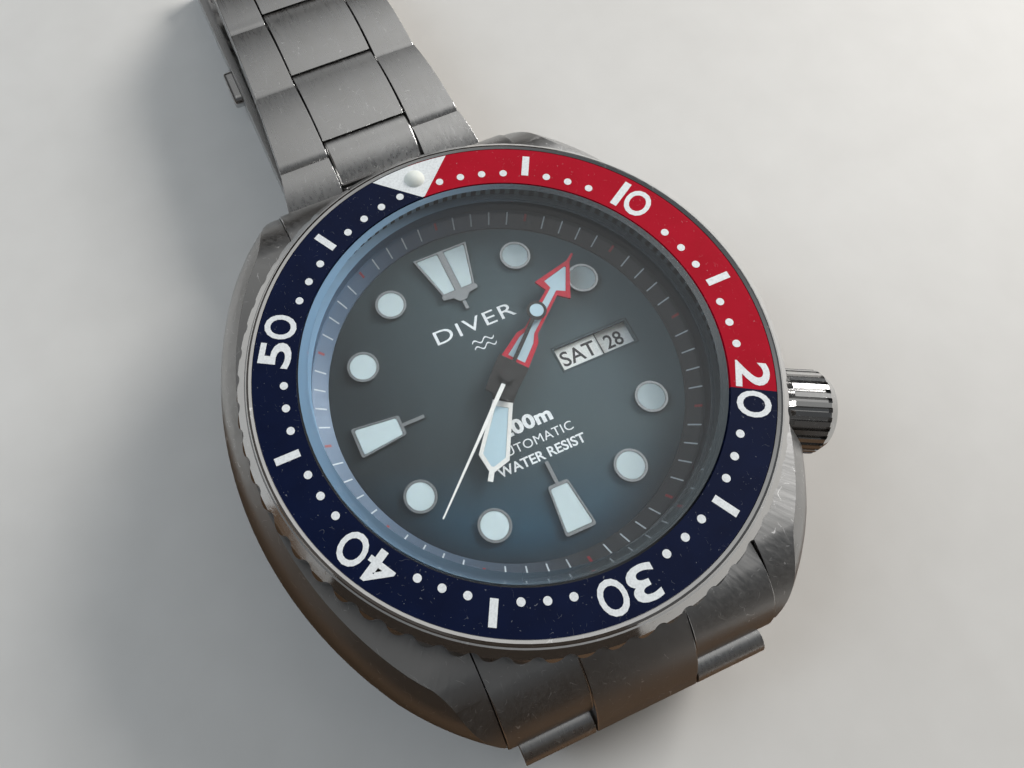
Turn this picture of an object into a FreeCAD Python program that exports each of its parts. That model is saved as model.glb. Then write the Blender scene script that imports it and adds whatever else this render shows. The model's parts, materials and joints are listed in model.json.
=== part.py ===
"""Automatic dive watch with a turning bezel, day and date, and a folded steel bracelet.

Frame, in millimetres: the origin is on the hand axis at the case back's flat outer face.
+Z points out of the dial, +Y to 12 o'clock and +X to 3 o'clock.
"""
import FreeCAD, Part
import math
import os

Vec = FreeCAD.Vector
OUT = Vec(0, 0, 1)
ACROSS = Vec(1, 0, 0)

# ---- driving dimensions ------------------------------------------------------------------
CASE_HALF_WIDTH = 22.6
LUG_GAP = 22.1
LUG_REACH = 23.8
CASE_BOTTOM = 1.1
CASE_EDGE = 5.5
CASE_TOP = 9.2
DIAL_TOP = 7.9
DIAL_THICK = 0.4
DIAL_R = 14.9
CRYSTAL_R = 15.68
CRYSTAL_BEVEL = 0.75
CRYSTAL_BASE = 10.4
CRYSTAL_TOP = 13.35
INSERT_TOP = 12.9
INSERT_INNER_R = 15.85
INSERT_OUTER_R = 19.1
BEZEL_R = 20.6
BEZEL_SCALLOPS = 60
MOVEMENT_R = 13.7
CROWN_CLOCKWISE = 117.0
CROWN_AXIS_Z = 6.1
CROWN_R = 3.4
CROWN_TIP = 25.8
LINK_PITCH = 8.7
FIRST_LINK_PITCH = 5.15
LINK_END_R = 1.4
LINK_CROWN = 0.35
LINK_GAP = 0.15
CENTRE_HALF = 4.2
PIN_R = 0.6
CLASP_BAR_R = 0.45
PRESSED_BAR_HALF = 7.7
RUNNING = 0.05
CLASP_HALF = 9.0
CLASP_WALL = 0.85
CLASP_FLOOR = -4.25
CLASP_PLATE = 0.7
CLASP_RIM = -0.75
CLASP_START = 22.4
CLASP_PLATE_END = 53.2
BUTTON_Y = 46.9
BUTTON_Z = -2.1
DATE_WINDOW = (4.75, 11.15, -0.93, 1.0)
DOT_MARKER_R = 1.27
MARKER_ROUND = 0.22
PEARL_R = 0.85
PEARL_Y = 17.75
TUBE_OUTER_R = 1.6
TUBE_INNER_R = 1.05
STEM_R = 0.5
BALANCE_R = 3.9
ROTOR_R = 12.9
PALLET_COCK_LOW = 4.0
HOUR_HAND_Z = 8.6
MINUTE_HAND_Z = 9.15
SECOND_HAND_Z = 9.65
HAND_THICK = 0.2
MINUTE_CLOCKWISE = 51.8
HOUR_CLOCKWISE = 214.3
SECOND_CLOCKWISE = 228.4

# ---- levels and radii that follow from them ----------------------------------------------
NECK_R = 17.4
NECK_TOP = INSERT_TOP - 0.9
INSERT_BASE = INSERT_TOP - 0.4
BEZEL_BASE = CASE_TOP + 0.2
CAVITY_R = CRYSTAL_R - 0.4
GASKET_R = CRYSTAL_R + 0.4
BACK_THREAD_R = 16.4
BACK_FLANGE_R = 17.3
DIAL_BASE = DIAL_TOP - DIAL_THICK
PLATE_TOP = 6.9
PLATE_BASE = 5.0
BRIDGE_TOP = 3.45
BRIDGE_BASE = 2.75
MARKER_TOP = DIAL_TOP + 0.35
WELL_FLOOR = 0.12
MARKER_CIRCLE = 11.25
LUG_WALL_R = 19.0
BAR_Y = 20.9
BAR_Z = 3.9
HINGE_Y = 24.5
HINGE_Z = 2.6
CROWN_FOOT = CROWN_TIP - 4.0
COVER_HINGE = (24.2, CLASP_FLOOR + CLASP_PLATE + 0.6)
FOLD_HINGE = (51.2, CLASP_FLOOR + CLASP_PLATE + 1.05)
LOCK_HINGE = (54.5, CLASP_FLOOR + CLASP_BAR_R + 0.02)

os.makedirs("parts", exist_ok=True)


# ---- shape helpers -----------------------------------------------------------------------
def save(name, *shapes):
    """Writes one node; separate pieces of one node stay separate solids."""
    shape = shapes[0] if len(shapes) == 1 else Part.makeCompound(list(shapes))
    shape.exportStep("parts/" + name + ".step")


def cylinder(radius, z_low, z_high, x=0.0, y=0.0):
    return Part.makeCylinder(radius, z_high - z_low, Vec(x, y, z_low), OUT)


def ring(outer, inner, z_low, z_high, x=0.0, y=0.0):
    hole = cylinder(inner, z_low - 0.1, z_high + 0.1, x, y)
    return cylinder(outer, z_low, z_high, x, y).cut(hole)


def bar_x(radius, x_low, x_high, y, z):
    return Part.makeCylinder(radius, x_high - x_low, Vec(x_low, y, z), ACROSS)


def block(x_low, x_high, y_low, y_high, z_low, z_high):
    corner = Vec(x_low, y_low, z_low)
    return Part.makeBox(x_high - x_low, y_high - y_low, z_high - z_low, corner)


def outline(start, *steps):
    """A closed face. A step is a point for a line, or a (middle, end) pair for an arc."""
    edges = []
    here = start
    for step in steps + (start,):
        if isinstance(step, tuple):
            middle, end = step
            edges.append(Part.Arc(here, middle, end).toShape())
        else:
            end = step
            if (end - here).Length > 1e-6:
                edges.append(Part.makeLine(here, end))
        here = end
    return Part.Face(Part.Wire(edges))


def turned(*profile):
    """Revolves a closed (radius, height) polygon about the hand axis."""
    points = [Vec(radius, 0, height) for radius, height in profile]
    return outline(points[0], *points[1:]).revolve(Vec(0, 0, 0), OUT, 360)


def clockwise(radius, degrees, z=0.0):
    """The point at a clock angle, measured clockwise from 12."""
    angle = math.radians(degrees)
    return Vec(radius * math.sin(angle), radius * math.cos(angle), z)


def spin(shape, degrees_clockwise, centre=Vec(0, 0, 0)):
    copy = shape.copy()
    copy.rotate(centre, OUT, -degrees_clockwise)
    return copy


def fused(*shapes):
    return shapes[0].multiFuse(list(shapes[1:])).removeSplitter()


def prism(points, z_low, z_high):
    vectors = [Vec(x, y, z_low) for x, y in points]
    return outline(vectors[0], *vectors[1:]).extrude(Vec(0, 0, z_high - z_low))


# ---- case --------------------------------------------------------------------------------
def cushion_wire(scale, z):
    """The cushion outline seen from above: two long side arcs, four lug ends."""
    shoulder = Vec(17.0 * scale, 18.2 * scale, z)
    lug_round = Vec(14.7 * scale, 20.9 * scale, z)
    lug_tip = Vec(11.2 * scale, LUG_REACH * scale, z)

    def flip(point, x_sign, y_sign):
        return Vec(point.x * x_sign, point.y * y_sign, z)

    side = Vec(CASE_HALF_WIDTH * scale, 0, z)
    face = outline(
        flip(lug_tip, -1, 1),
        lug_tip,
        (lug_round, shoulder),
        (side, flip(shoulder, 1, -1)),
        (flip(lug_round, 1, -1), flip(lug_tip, 1, -1)),
        flip(lug_tip, -1, -1),
        (flip(lug_round, -1, -1), flip(shoulder, -1, -1)),
        (flip(side, -1, 1), flip(shoulder, -1, 1)),
        (flip(lug_round, -1, 1), flip(lug_tip, -1, 1)),
    )
    return face.OuterWire


def cushion_body():
    """Smooth flanks: drawn in towards the back and the bezel, widest at the edge band."""
    wires = []
    for share in (0.0, 0.2, 0.45, 0.75, 1.0):
        z = CASE_BOTTOM + (CASE_EDGE - CASE_BOTTOM) * share
        wires.append(cushion_wire(1.0 - 0.16 * (1 - share) ** 2, z))
    for share in (0.25, 0.5, 0.75, 1.0):
        z = CASE_EDGE + (CASE_TOP - CASE_EDGE) * share
        wires.append(cushion_wire(1.0 - 0.085 * share ** 2.4, z))
    body = Part.makeLoft(wires, True, False)
    reach = LUG_REACH + 1.0
    half = CASE_HALF_WIDTH + 5.0
    side_view = outline(
        Vec(-half, -reach, CASE_BOTTOM - 0.1),
        Vec(-half, reach, CASE_BOTTOM - 0.1),
        Vec(-half, reach, 3.2),
        (Vec(-half, 21.4, 7.9), Vec(-half, 16.0, CASE_TOP + 0.1)),
        Vec(-half, -16.0, CASE_TOP + 0.1),
        (Vec(-half, -21.4, 7.9), Vec(-half, -reach, 3.2)),
    )
    return body.common(side_view.extrude(Vec(2 * half, 0, 0)))


def lug_gap(y_sign):
    """The space between two lugs, down to the round wall of the case body."""
    half = LUG_GAP / 2
    y_far = y_sign * (LUG_REACH + 2)
    y_near = y_sign * 14.0
    gap = block(-half, half, min(y_near, y_far), max(y_near, y_far), 0, CASE_TOP + 1)
    return gap.cut(cylinder(LUG_WALL_R, -1, CASE_TOP + 2))


def crown_direction():
    return clockwise(1.0, CROWN_CLOCKWISE)


def along_stem(radius, start, end):
    """A cylinder on the stem's axis, between two distances from the hand axis."""
    direction = crown_direction()
    foot = direction * start + Vec(0, 0, CROWN_AXIS_Z)
    return Part.makeCylinder(radius, end - start, foot, direction)


def case_middle():
    body = cushion_body()
    neck = cylinder(NECK_R, CASE_TOP - 0.5, NECK_TOP)
    body = body.fuse(neck)
    for sign in (1, -1):
        body = body.cut(lug_gap(sign))
    hollow = turned(
        (0, CASE_BOTTOM - 1),
        (BACK_THREAD_R, CASE_BOTTOM - 1),
        (BACK_THREAD_R, 2.6),
        (CAVITY_R, 2.6),
        (CAVITY_R, CRYSTAL_BASE - 0.1),
        (GASKET_R, CRYSTAL_BASE - 0.1),
        (GASKET_R, NECK_TOP + 1),
        (0, NECK_TOP + 1),
    )
    body = body.cut(hollow)
    body = body.cut(ring(17.1, 16.6, CASE_BOTTOM - 0.2, CASE_BOTTOM + 0.45))
    body = body.cut(ring(NECK_R + 0.1, NECK_R - 0.45, 10.5, 11.1))
    for x_side in (1, -1):
        for y_side in (1, -1):
            x_start = min(x_side * 10.0, x_side * 12.4)
            hole = bar_x(0.55, x_start, x_start + 2.4, y_side * BAR_Y, BAR_Z)
            body = body.cut(hole)
    body = body.cut(along_stem(CROWN_R + 0.4, CROWN_TIP - 4.3, CROWN_TIP + 3))
    body = body.cut(along_stem(TUBE_OUTER_R, CAVITY_R - 1, CROWN_TIP))
    return body


def case_back():
    """Screwed back with a bevelled rim, six tool notches and a threaded collar."""
    back = turned(
        (0, 0),
        (15.4, 0),
        (16.2, 0.25),
        (BACK_FLANGE_R, 0.75),
        (BACK_FLANGE_R, CASE_BOTTOM),
        (BACK_THREAD_R - 0.02, CASE_BOTTOM),
        (BACK_THREAD_R - 0.02, 2.45),
        (15.5, 2.45),
        (15.5, 1.0),
        (0, 1.0),
    )
    for index in range(6):
        notch = block(-1.5, 1.5, 15.9, 18.0, -0.5, 0.8)
        back = back.cut(spin(notch, 60 * index + 30))
    return back


def rubber_ring(outer, inner, z_low, z_high):
    """A rubber ring with softened edges."""
    soft = 0.12
    return turned(
        (inner + soft, z_low),
        (outer - soft, z_low),
        (outer, z_low + soft),
        (outer, z_high - soft),
        (outer - soft, z_high),
        (inner + soft, z_high),
        (inner, z_high - soft),
        (inner, z_low + soft),
    )


# ---- crown and stem ----------------------------------------------------------------------
def stem_axis_frame(shape):
    """Turns a shape modelled about +Z, base at the hand axis, onto the stem's axis."""
    copy = shape.copy()
    copy.rotate(Vec(0, 0, 0), Vec(0, 1, 0), 90)
    copy.rotate(Vec(0, 0, 0), OUT, 90 - CROWN_CLOCKWISE)
    copy.translate(Vec(0, 0, CROWN_AXIS_Z))
    return copy


def crown():
    """Fluted grip with a bevelled outer face, and a bore that runs over the tube."""
    flutes = 28
    knob = turned(
        (0, CROWN_FOOT),
        (CROWN_R - 0.35, CROWN_FOOT),
        (CROWN_R, CROWN_FOOT + 0.35),
        (CROWN_R, CROWN_TIP - 0.95),
        (CROWN_R - 0.5, CROWN_TIP - 0.25),
        (CROWN_R - 1.1, CROWN_TIP),
        (0, CROWN_TIP),
    )
    points = []
    for index in range(flutes):
        step = 360.0 / flutes
        for share, radius in ((0.0, 0.0), (0.5, 0.0), (0.6, -0.34), (0.9, -0.34)):
            point = clockwise(CROWN_R + radius, step * (index + share))
            points.append((point.x, point.y))
    grip = prism(points, CROWN_FOOT - 0.5, CROWN_TIP - 0.85)
    cap = cylinder(CROWN_R + 1, CROWN_TIP - 0.85, CROWN_TIP + 1)
    knob = knob.common(grip.fuse(cap))
    bore = cylinder(TUBE_OUTER_R + RUNNING, CROWN_FOOT - 1, CROWN_TIP - 1.5)
    stem_hole = cylinder(STEM_R, CROWN_FOOT - 1, CROWN_TIP - 0.9)
    return stem_axis_frame(knob.cut(bore).cut(stem_hole))


def stem():
    """Round stem with a square length that drives the clutch."""
    start = 6.9
    square_half = STEM_R * 0.62
    rod = cylinder(STEM_R, 10.9, CROWN_TIP - 0.9)
    square = block(-square_half, square_half, -square_half, square_half, start, 10.9)
    return stem_axis_frame(rod.fuse(square))


def sliding_pinion():
    """The clutch on the stem's square, with a face of Breguet teeth and a waist."""
    body = turned(
        (0, 7.4),
        (0.72, 7.4),
        (0.72, 8.1),
        (0.5, 8.1),
        (0.5, 8.6),
        (0.72, 8.6),
        (0.72, 9.4),
        (0, 9.4),
    )
    half = STEM_R * 0.62 + RUNNING
    body = body.cut(block(-half, half, -half, half, 7.0, 10.0))
    for index in range(8):
        notch = block(-0.09, 0.09, 0.5, 1.0, 9.1, 9.6)
        body = body.cut(spin(notch, 45 * index))
    return stem_axis_frame(body)


def crown_tube():
    tube = ring(TUBE_OUTER_R, TUBE_INNER_R, 17.2, CROWN_TIP - 1.9)
    return stem_axis_frame(tube)


def crown_gasket():
    return stem_axis_frame(rubber_ring(TUBE_INNER_R, STEM_R + 0.02, 20.2, 20.9))


# ---- bezel, crystal and dial -------------------------------------------------------------
def scalloped_prism(z_low, z_high):
    """The grip outline: rounded crests with shallow round valleys between them."""
    step = 360.0 / BEZEL_SCALLOPS
    depth = 0.42
    waist = BEZEL_R - depth * 0.5

    def at(share, index, radius):
        return clockwise(radius, step * (index + share), z_low)

    steps = []
    for index in range(BEZEL_SCALLOPS):
        steps.append((at(0.0, index, BEZEL_R), at(0.27, index, waist)))
        steps.append((at(0.5, index, BEZEL_R - depth), at(0.73, index, waist)))
    start = at(-0.27, 0, waist)
    edges = []
    here = start
    for middle, end in steps:
        edges.append(Part.Arc(here, middle, end).toShape())
        here = end
    face = Part.Face(Part.Wire(edges))
    return face.extrude(Vec(0, 0, z_high - z_low))


def ratchet_cutter(teeth, tip_r, root_r, z_low, z_high):
    """A saw-toothed prism, one gentle and one steep flank to each tooth."""
    points = []
    for index in range(teeth):
        for share, radius in ((0.0, tip_r), (0.85, root_r)):
            point = clockwise(radius, 360.0 / teeth * (index + share))
            points.append((point.x, point.y))
    return prism(points, z_low, z_high)


def bezel_ring():
    body = turned(
        (NECK_R + RUNNING, BEZEL_BASE),
        (BEZEL_R, BEZEL_BASE),
        (BEZEL_R, INSERT_TOP - 1.55),
        (BEZEL_R - 0.25, INSERT_TOP - 0.85),
        (INSERT_OUTER_R + 0.42, INSERT_TOP + 0.02),
        (INSERT_OUTER_R + 0.25, INSERT_TOP + 0.1),
        (INSERT_OUTER_R + 0.04, INSERT_TOP + 0.02),
        (INSERT_OUTER_R + 0.04, INSERT_BASE),
        (INSERT_INNER_R + 0.1, INSERT_BASE),
        (INSERT_INNER_R + 0.1, NECK_TOP + RUNNING),
        (NECK_R + RUNNING, NECK_TOP + RUNNING),
    )
    rim = cylinder(INSERT_OUTER_R + 0.5, INSERT_TOP - 0.75, CRYSTAL_TOP)
    body = body.common(fused(scalloped_prism(BEZEL_BASE - 0.5, INSERT_TOP - 0.2), rim))
    ratchet = ratchet_cutter(120, 18.05, 18.35, BEZEL_BASE - 0.1, BEZEL_BASE + 0.6)
    return body.cut(ratchet)


def bezel_insert():
    plate = ring(INSERT_OUTER_R, INSERT_INNER_R, INSERT_BASE, INSERT_TOP)
    seat = cylinder(PEARL_R, INSERT_BASE - 0.1, INSERT_TOP + 0.1, 0, PEARL_Y)
    return plate.cut(seat)


def bezel_pearl():
    """A lume bead: a short barrel with a domed top."""
    radius = PEARL_R - 0.01
    rise = 0.42
    dome_r = (radius ** 2 + rise ** 2) / (2 * rise)
    top = INSERT_TOP + rise
    barrel_solid = cylinder(radius, INSERT_BASE, top + 0.1, 0, PEARL_Y)
    dome = Part.makeSphere(dome_r, Vec(0, PEARL_Y, top - dome_r))
    base = cylinder(radius, INSERT_BASE, INSERT_TOP, 0, PEARL_Y)
    return fused(base, barrel_solid.common(dome))


def bezel_click_spring():
    """A thin leaf bent round the neck, with a nib that reaches for the bezel's ratchet."""
    inner = NECK_R + 0.02
    level = BEZEL_BASE - 0.18
    leaf = ring(inner + 0.25, inner, level, level + 0.5)
    leaf = leaf.cut(spin(block(-30, 30, -30, 0, 0, 20), 0))
    nib = block(-0.5, 0.5, inner + 0.05, inner + 0.58, level, level + 0.5)
    return fused(leaf, spin(nib, 60))


def crystal():
    """A flat disc of glass with a broad shallow bevel."""
    return turned(
        (0, CRYSTAL_BASE),
        (CRYSTAL_R, CRYSTAL_BASE),
        (CRYSTAL_R, CRYSTAL_TOP - CRYSTAL_BEVEL / 2),
        (CRYSTAL_R - CRYSTAL_BEVEL, CRYSTAL_TOP),
        (0, CRYSTAL_TOP),
    )


def sealing_rings():
    """The four water seals: under the back, under the bezel, round crystal and stem."""
    back = rubber_ring(17.05, 16.65, CASE_BOTTOM, CASE_BOTTOM + 0.4)
    bezel = rubber_ring(NECK_R - 0.02, NECK_R - 0.42, 10.55, 11.05)
    glass = ring(GASKET_R, CRYSTAL_R, CRYSTAL_BASE - 0.1, NECK_TOP - 0.1)
    return [back, bezel, glass, crown_gasket()]


def chapter_ring():
    """The sloped minute flange between the dial and the crystal."""
    outer = CAVITY_R - 0.04
    wall = 0.2
    return turned(
        (13.9, DIAL_TOP),
        (outer, DIAL_TOP),
        (outer, CRYSTAL_BASE - 0.05),
        (outer - wall, CRYSTAL_BASE - 0.05),
        (outer - wall, DIAL_TOP + 1.15),
        (13.9, DIAL_TOP + 0.2),
    )


def dial():
    plate = ring(DIAL_R, 0.95, DIAL_BASE, DIAL_TOP)
    x_low, x_high, y_low, y_high = DATE_WINDOW
    return plate.cut(block(x_low, x_high, y_low, y_high, DIAL_BASE - 0.1, DIAL_TOP + 0.1))


def round_prism(points, radius, z_low, z_high):
    """A prism whose upright edges are rounded."""
    solid = prism(points, z_low, z_high)
    upright = [edge for edge in solid.Edges if edge.BoundBox.ZLength > (z_high - z_low) / 2]
    return solid.makeFillet(radius, upright)


def hollow_marker(points, wall):
    """A polished frame with a raised rim round a lume well."""
    centre_x = sum(x for x, y in points) / len(points)
    centre_y = sum(y for x, y in points) / len(points)

    def shrink(x, y):
        distance = math.hypot(x - centre_x, y - centre_y)
        share = 1 - wall * 1.35 / distance
        return centre_x + (x - centre_x) * share, centre_y + (y - centre_y) * share

    frame = round_prism(points, MARKER_ROUND, DIAL_TOP, MARKER_TOP)
    inner = [shrink(x, y) for x, y in points]
    well = round_prism(inner, MARKER_ROUND - 0.06, DIAL_TOP + WELL_FLOOR, MARKER_TOP + 0.1)
    return frame.cut(well)


def dart_points():
    """The trapezoid at 6 o'clock, wide end outwards, drawn towards +Y."""
    return [(-1.25, 12.6), (1.25, 12.6), (0.82, 8.75), (-0.82, 8.75)]


def dart_marker():
    stalk = block(-0.14, 0.14, 6.95, 8.9, DIAL_TOP, MARKER_TOP - 0.1)
    return hollow_marker(dart_points(), 0.2).fuse(stalk)


def twin_marker():
    """Two wells side by side above a pointed foot, at 12 o'clock."""
    half = [(2.4, 12.6), (1.42, 8.75), (1.58, 8.6), (1.5, 8.32), (0.7, 8.2), (0.3, 7.75)]
    points = half + [(-x, y) for x, y in reversed(half)]
    body = prism(points, DIAL_TOP, MARKER_TOP)
    stalk = block(-0.14, 0.14, 6.95, 8.2, DIAL_TOP, MARKER_TOP - 0.1)
    for side in (1, -1):
        well = [(0.26, 12.46), (2.2, 12.46), (1.3, 8.82), (0.26, 8.82)]
        well = [(x * side, y) for x, y in well]
        if side < 0:
            well.reverse()
        body = body.cut(prism(well, DIAL_TOP + WELL_FLOOR, MARKER_TOP + 0.1))
    return body.fuse(stalk)


def round_marker(hour):
    centre = clockwise(MARKER_CIRCLE, 30 * hour)
    cup = cylinder(DOT_MARKER_R, DIAL_TOP, MARKER_TOP, centre.x, centre.y)
    well = cylinder(DOT_MARKER_R - 0.19, DIAL_TOP + WELL_FLOOR, MARKER_TOP + 0.1, centre.x, centre.y)
    return cup.cut(well)


def hour_markers():
    markers = [twin_marker(), spin(dart_marker(), 180), spin(dart_marker(), 270)]
    markers += [round_marker(hour) for hour in (1, 2, 4, 5, 7, 8, 10, 11)]
    return markers


# ---- hands -------------------------------------------------------------------------------
def mirrored(points):
    """Closes a half outline of (half width, reach) points about the hand's long axis."""
    right = [(x, y) for x, y in points]
    left = [(-x, y) for x, y in reversed(points) if x > 1e-9]
    return right + left


def hour_hand():
    """Broad sword with a lume window and a short pointer."""
    body = mirrored([(0.85, -2.0), (1.2, -0.6), (0.98, 0.9), (0.78, 1.95), (1.16, 6.35),
                     (0.2, 7.45), (0.2, 8.2)])
    window = mirrored([(0.5, 2.3), (0.85, 6.2), (0.1, 7.05)])
    low, high = HOUR_HAND_Z, HOUR_HAND_Z + HAND_THICK
    hand = prism(body, low, high).cut(prism(window, low - 0.1, high + 0.1))
    hand = hand.cut(cylinder(0.8, low - 0.1, high + 0.1))
    return spin(hand, HOUR_CLOCKWISE)


def minute_hand():
    """Arrow with a stepped blade, a lume window and a long thin tip."""
    body = mirrored([(1.0, -1.7), (1.2, -0.6), (1.2, 1.0), (1.15, 1.4), (0.93, 3.65),
                     (0.56, 4.3), (0.5, 8.1), (1.55, 8.35), (0.13, 11.3), (0.09, 12.1)])
    shaft = mirrored([(0.72, 1.65), (0.6, 3.45), (0.3, 4.25), (0.26, 8.45), (0.95, 8.75),
                      (0.06, 10.75)])
    low, high = MINUTE_HAND_Z, MINUTE_HAND_Z + HAND_THICK
    hand = prism(body, low, high).cut(prism(shaft, low - 0.1, high + 0.1))
    hand = hand.cut(cylinder(0.5, low - 0.1, high + 0.1))
    return spin(hand, MINUTE_CLOCKWISE)


def seconds_hand():
    """Needle with a lollipop on its short end, and a small pipe."""
    low, high = SECOND_HAND_Z, SECOND_HAND_Z + 0.16
    needle = prism(mirrored([(0.16, -5.2), (0.16, 2.0), (0.1, 6.0), (0.06, 12.1)]), low, high)
    disc = cylinder(0.78, low, high, 0, -5.93)
    hub = cylinder(0.62, low - 0.1, high + 0.14)
    hand = fused(needle, disc, hub)
    hand = hand.cut(cylinder(0.1, low - 1, high + 0.06))
    hand = hand.cut(cylinder(0.56, high - 0.06, high + 0.1, 0, -5.93))
    return spin(hand, SECOND_CLOCKWISE)


# ---- movement ----------------------------------------------------------------------------
TRAIN_DISTANCE = 4.25
BARREL_TEETH, CENTRE_PINION_TEETH, BARREL_MODULE = 72, 12, 0.14
CENTRE_TEETH, THIRD_PINION_TEETH = 75, 10
THIRD_TEETH, FOURTH_PINION_TEETH = 80, 10
FOURTH_TEETH, ESCAPE_PINION_TEETH, FOURTH_MODULE = 84, 7, 0.09
CANNON_TEETH, MINUTE_WHEEL_TEETH = 12, 36
MINUTE_PINION_TEETH, HOUR_TEETH = 10, 40
MOTION_DISTANCE = 2.4
BARREL_ANGLE, THIRD_ANGLE, ESCAPE_ANGLE, MINUTE_WHEEL_ANGLE = 35.0, 150.0, 235.0, 300.0

BARREL_AT = clockwise((BARREL_TEETH + CENTRE_PINION_TEETH) * BARREL_MODULE / 2, BARREL_ANGLE)
THIRD_AT = clockwise(TRAIN_DISTANCE, THIRD_ANGLE)
ESCAPE_AT = clockwise((FOURTH_TEETH + ESCAPE_PINION_TEETH) * FOURTH_MODULE / 2, ESCAPE_ANGLE)
PALLET_AT = clockwise(7.0, ESCAPE_ANGLE)
BALANCE_AT = clockwise(9.3, ESCAPE_ANGLE)
MINUTE_WHEEL_AT = clockwise(MOTION_DISTANCE, MINUTE_WHEEL_ANGLE)


def gear(teeth, module, z_low, z_high, centre, facing, tooth_faces, bore=0.0):
    """A toothed disc. Its tooth, or its gap, points along the clock angle facing."""
    step = 360.0 / teeth
    pitch_r = module * teeth / 2
    root = pitch_r - 1.2 * module
    tip = pitch_r + 0.85 * module
    offset = facing + (0.0 if tooth_faces else step / 2)
    points = []
    for index in range(teeth):
        for share, radius in ((-0.25, root), (-0.1, tip), (0.1, tip), (0.25, root)):
            point = clockwise(radius, offset + step * (index + share))
            points.append((point.x + centre.x, point.y + centre.y))
    disc = prism(points, z_low, z_high)
    if bore > 0:
        disc = disc.cut(cylinder(bore, z_low - 0.1, z_high + 0.1, centre.x, centre.y))
    return disc


def spoked(wheel, rim_inner, hub_outer, arms, z_low, z_high, centre):
    """Opens a wheel into a rim, a hub and arms."""
    window = ring(rim_inner, hub_outer, z_low - 0.1, z_high + 0.1, centre.x, centre.y)
    for index in range(arms):
        arm = block(-0.16, 0.16, 0, rim_inner + 0.1, z_low - 0.2, z_high + 0.2)
        arm.translate(Vec(centre.x, centre.y, 0))
        window = window.cut(spin(arm, 360.0 / arms * index, Vec(centre.x, centre.y, 0)))
    return wheel.cut(window)


def spiral(inner, outer, turns, width, z_low, z_high, centre):
    """A flat coiled spring of even width, made of half circles that grow turn by turn."""
    halves = int(turns * 2)
    growth = (outer - inner) / halves

    def sign(index):
        return 1 if index % 2 == 0 else -1

    def end_point(index, shift):
        return centre + Vec(sign(index) * (inner + growth * index + shift), 0, z_low)

    def crest(index, shift):
        start, end = end_point(index, shift), end_point(index + 1, shift)
        return (start + end) * 0.5 + Vec(0, sign(index) * (start - end).Length / 2, 0)

    half = width / 2
    steps = [(crest(index, half), end_point(index + 1, half)) for index in range(halves)]
    steps.append(end_point(halves, -half))
    for index in reversed(range(halves)):
        steps.append((crest(index, -half), end_point(index, -half)))
    face = outline(end_point(0, half), *steps)
    return face.extrude(Vec(0, 0, z_high - z_low))


def arbor(centre, z_low, z_high, body_r=0.22, pivot_r=0.1):
    """A staff with a thin pivot at each end."""
    staff = cylinder(body_r, z_low + 0.3, z_high - 0.3, centre.x, centre.y)
    pivot = cylinder(pivot_r, z_low, z_high, centre.x, centre.y)
    return staff.fuse(pivot)


def plate_pockets():
    """Room on the main plate for the barrel, the motion work and the clutch."""
    pockets = [cylinder(5.5, PLATE_BASE - 0.1, 5.85, BARREL_AT.x, BARREL_AT.y)]
    pockets.append(cylinder(BALANCE_R + 0.25, 3.5, 4.99, BALANCE_AT.x, BALANCE_AT.y))
    pockets.append(cylinder(4.7, 6.2, PLATE_TOP + 0.1))
    clutch_room = block(-1.05, 1.05, 6.6, 14.2, 5.15, PLATE_TOP + 0.1)
    pockets.append(spin(clutch_room, CROWN_CLOCKWISE))
    return pockets


def jewel_places():
    """Each jewel's centre, pivot radius and level: some in the bridge, some in the plate."""
    low, high = BRIDGE_BASE + 0.25, PLATE_BASE
    places = []
    for centre in (THIRD_AT, ESCAPE_AT, PALLET_AT):
        places.append((centre, 0.1, PALLET_COCK_LOW if centre is PALLET_AT else low))
        places.append((centre, 0.1, high))
    places.append((Vec(0, 0, 0), 0.1, low))
    places.append((BALANCE_AT, 0.1, high))
    return places


def with_jewel_seats(shape):
    for centre, pivot, level in jewel_places():
        shape = shape.cut(cylinder(0.5, level, level + 0.3, centre.x, centre.y))
        shape = shape.cut(cylinder(0.25, level - 0.5, level + 0.8, centre.x, centre.y))
    return shape


def jewels():
    rubies = []
    for centre, pivot, level in jewel_places():
        rubies.append(ring(0.5, pivot + 0.03, level, level + 0.3, centre.x, centre.y))
    return rubies


SCREW_ANGLES = (0.0, 75.0, 130.0, 300.0)


def main_plate():
    plate = cylinder(MOVEMENT_R, PLATE_BASE, PLATE_TOP)
    rim = ring(MOVEMENT_R, MOVEMENT_R - 1.0, BRIDGE_TOP, PLATE_BASE)
    plate = plate.fuse(rim)
    for pocket in plate_pockets():
        plate = plate.cut(pocket)
    plate = plate.cut(along_stem(STEM_R + RUNNING, 10.0, MOVEMENT_R + 1))
    plate = plate.cut(cylinder(0.36, PLATE_BASE - 1, PLATE_TOP + 1))
    plate = with_jewel_seats(plate)
    foot = MINUTE_WHEEL_AT
    plate = plate.fuse(cylinder(0.2, 6.15, 7.05, foot.x, foot.y))
    arbor_hole = cylinder(0.42, PLATE_BASE, 6.4, BARREL_AT.x, BARREL_AT.y)
    plate = plate.cut(arbor_hole)
    for angle in SCREW_ANGLES:
        place = clockwise(MOVEMENT_R - 0.5, angle)
        plate = plate.cut(cylinder(0.3, BRIDGE_BASE, 5.6, place.x, place.y))
    return plate


def cock_region():
    """The sector of the movement that the balance cock covers, and not the train bridge."""
    wedge = prism([(0, 0), (-9.0, 12), (9.0, 12)], BRIDGE_BASE - 1, BRIDGE_TOP + 1)
    wedge.translate(Vec(0, 7.75, 0))
    return spin(wedge, ESCAPE_ANGLE)


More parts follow.
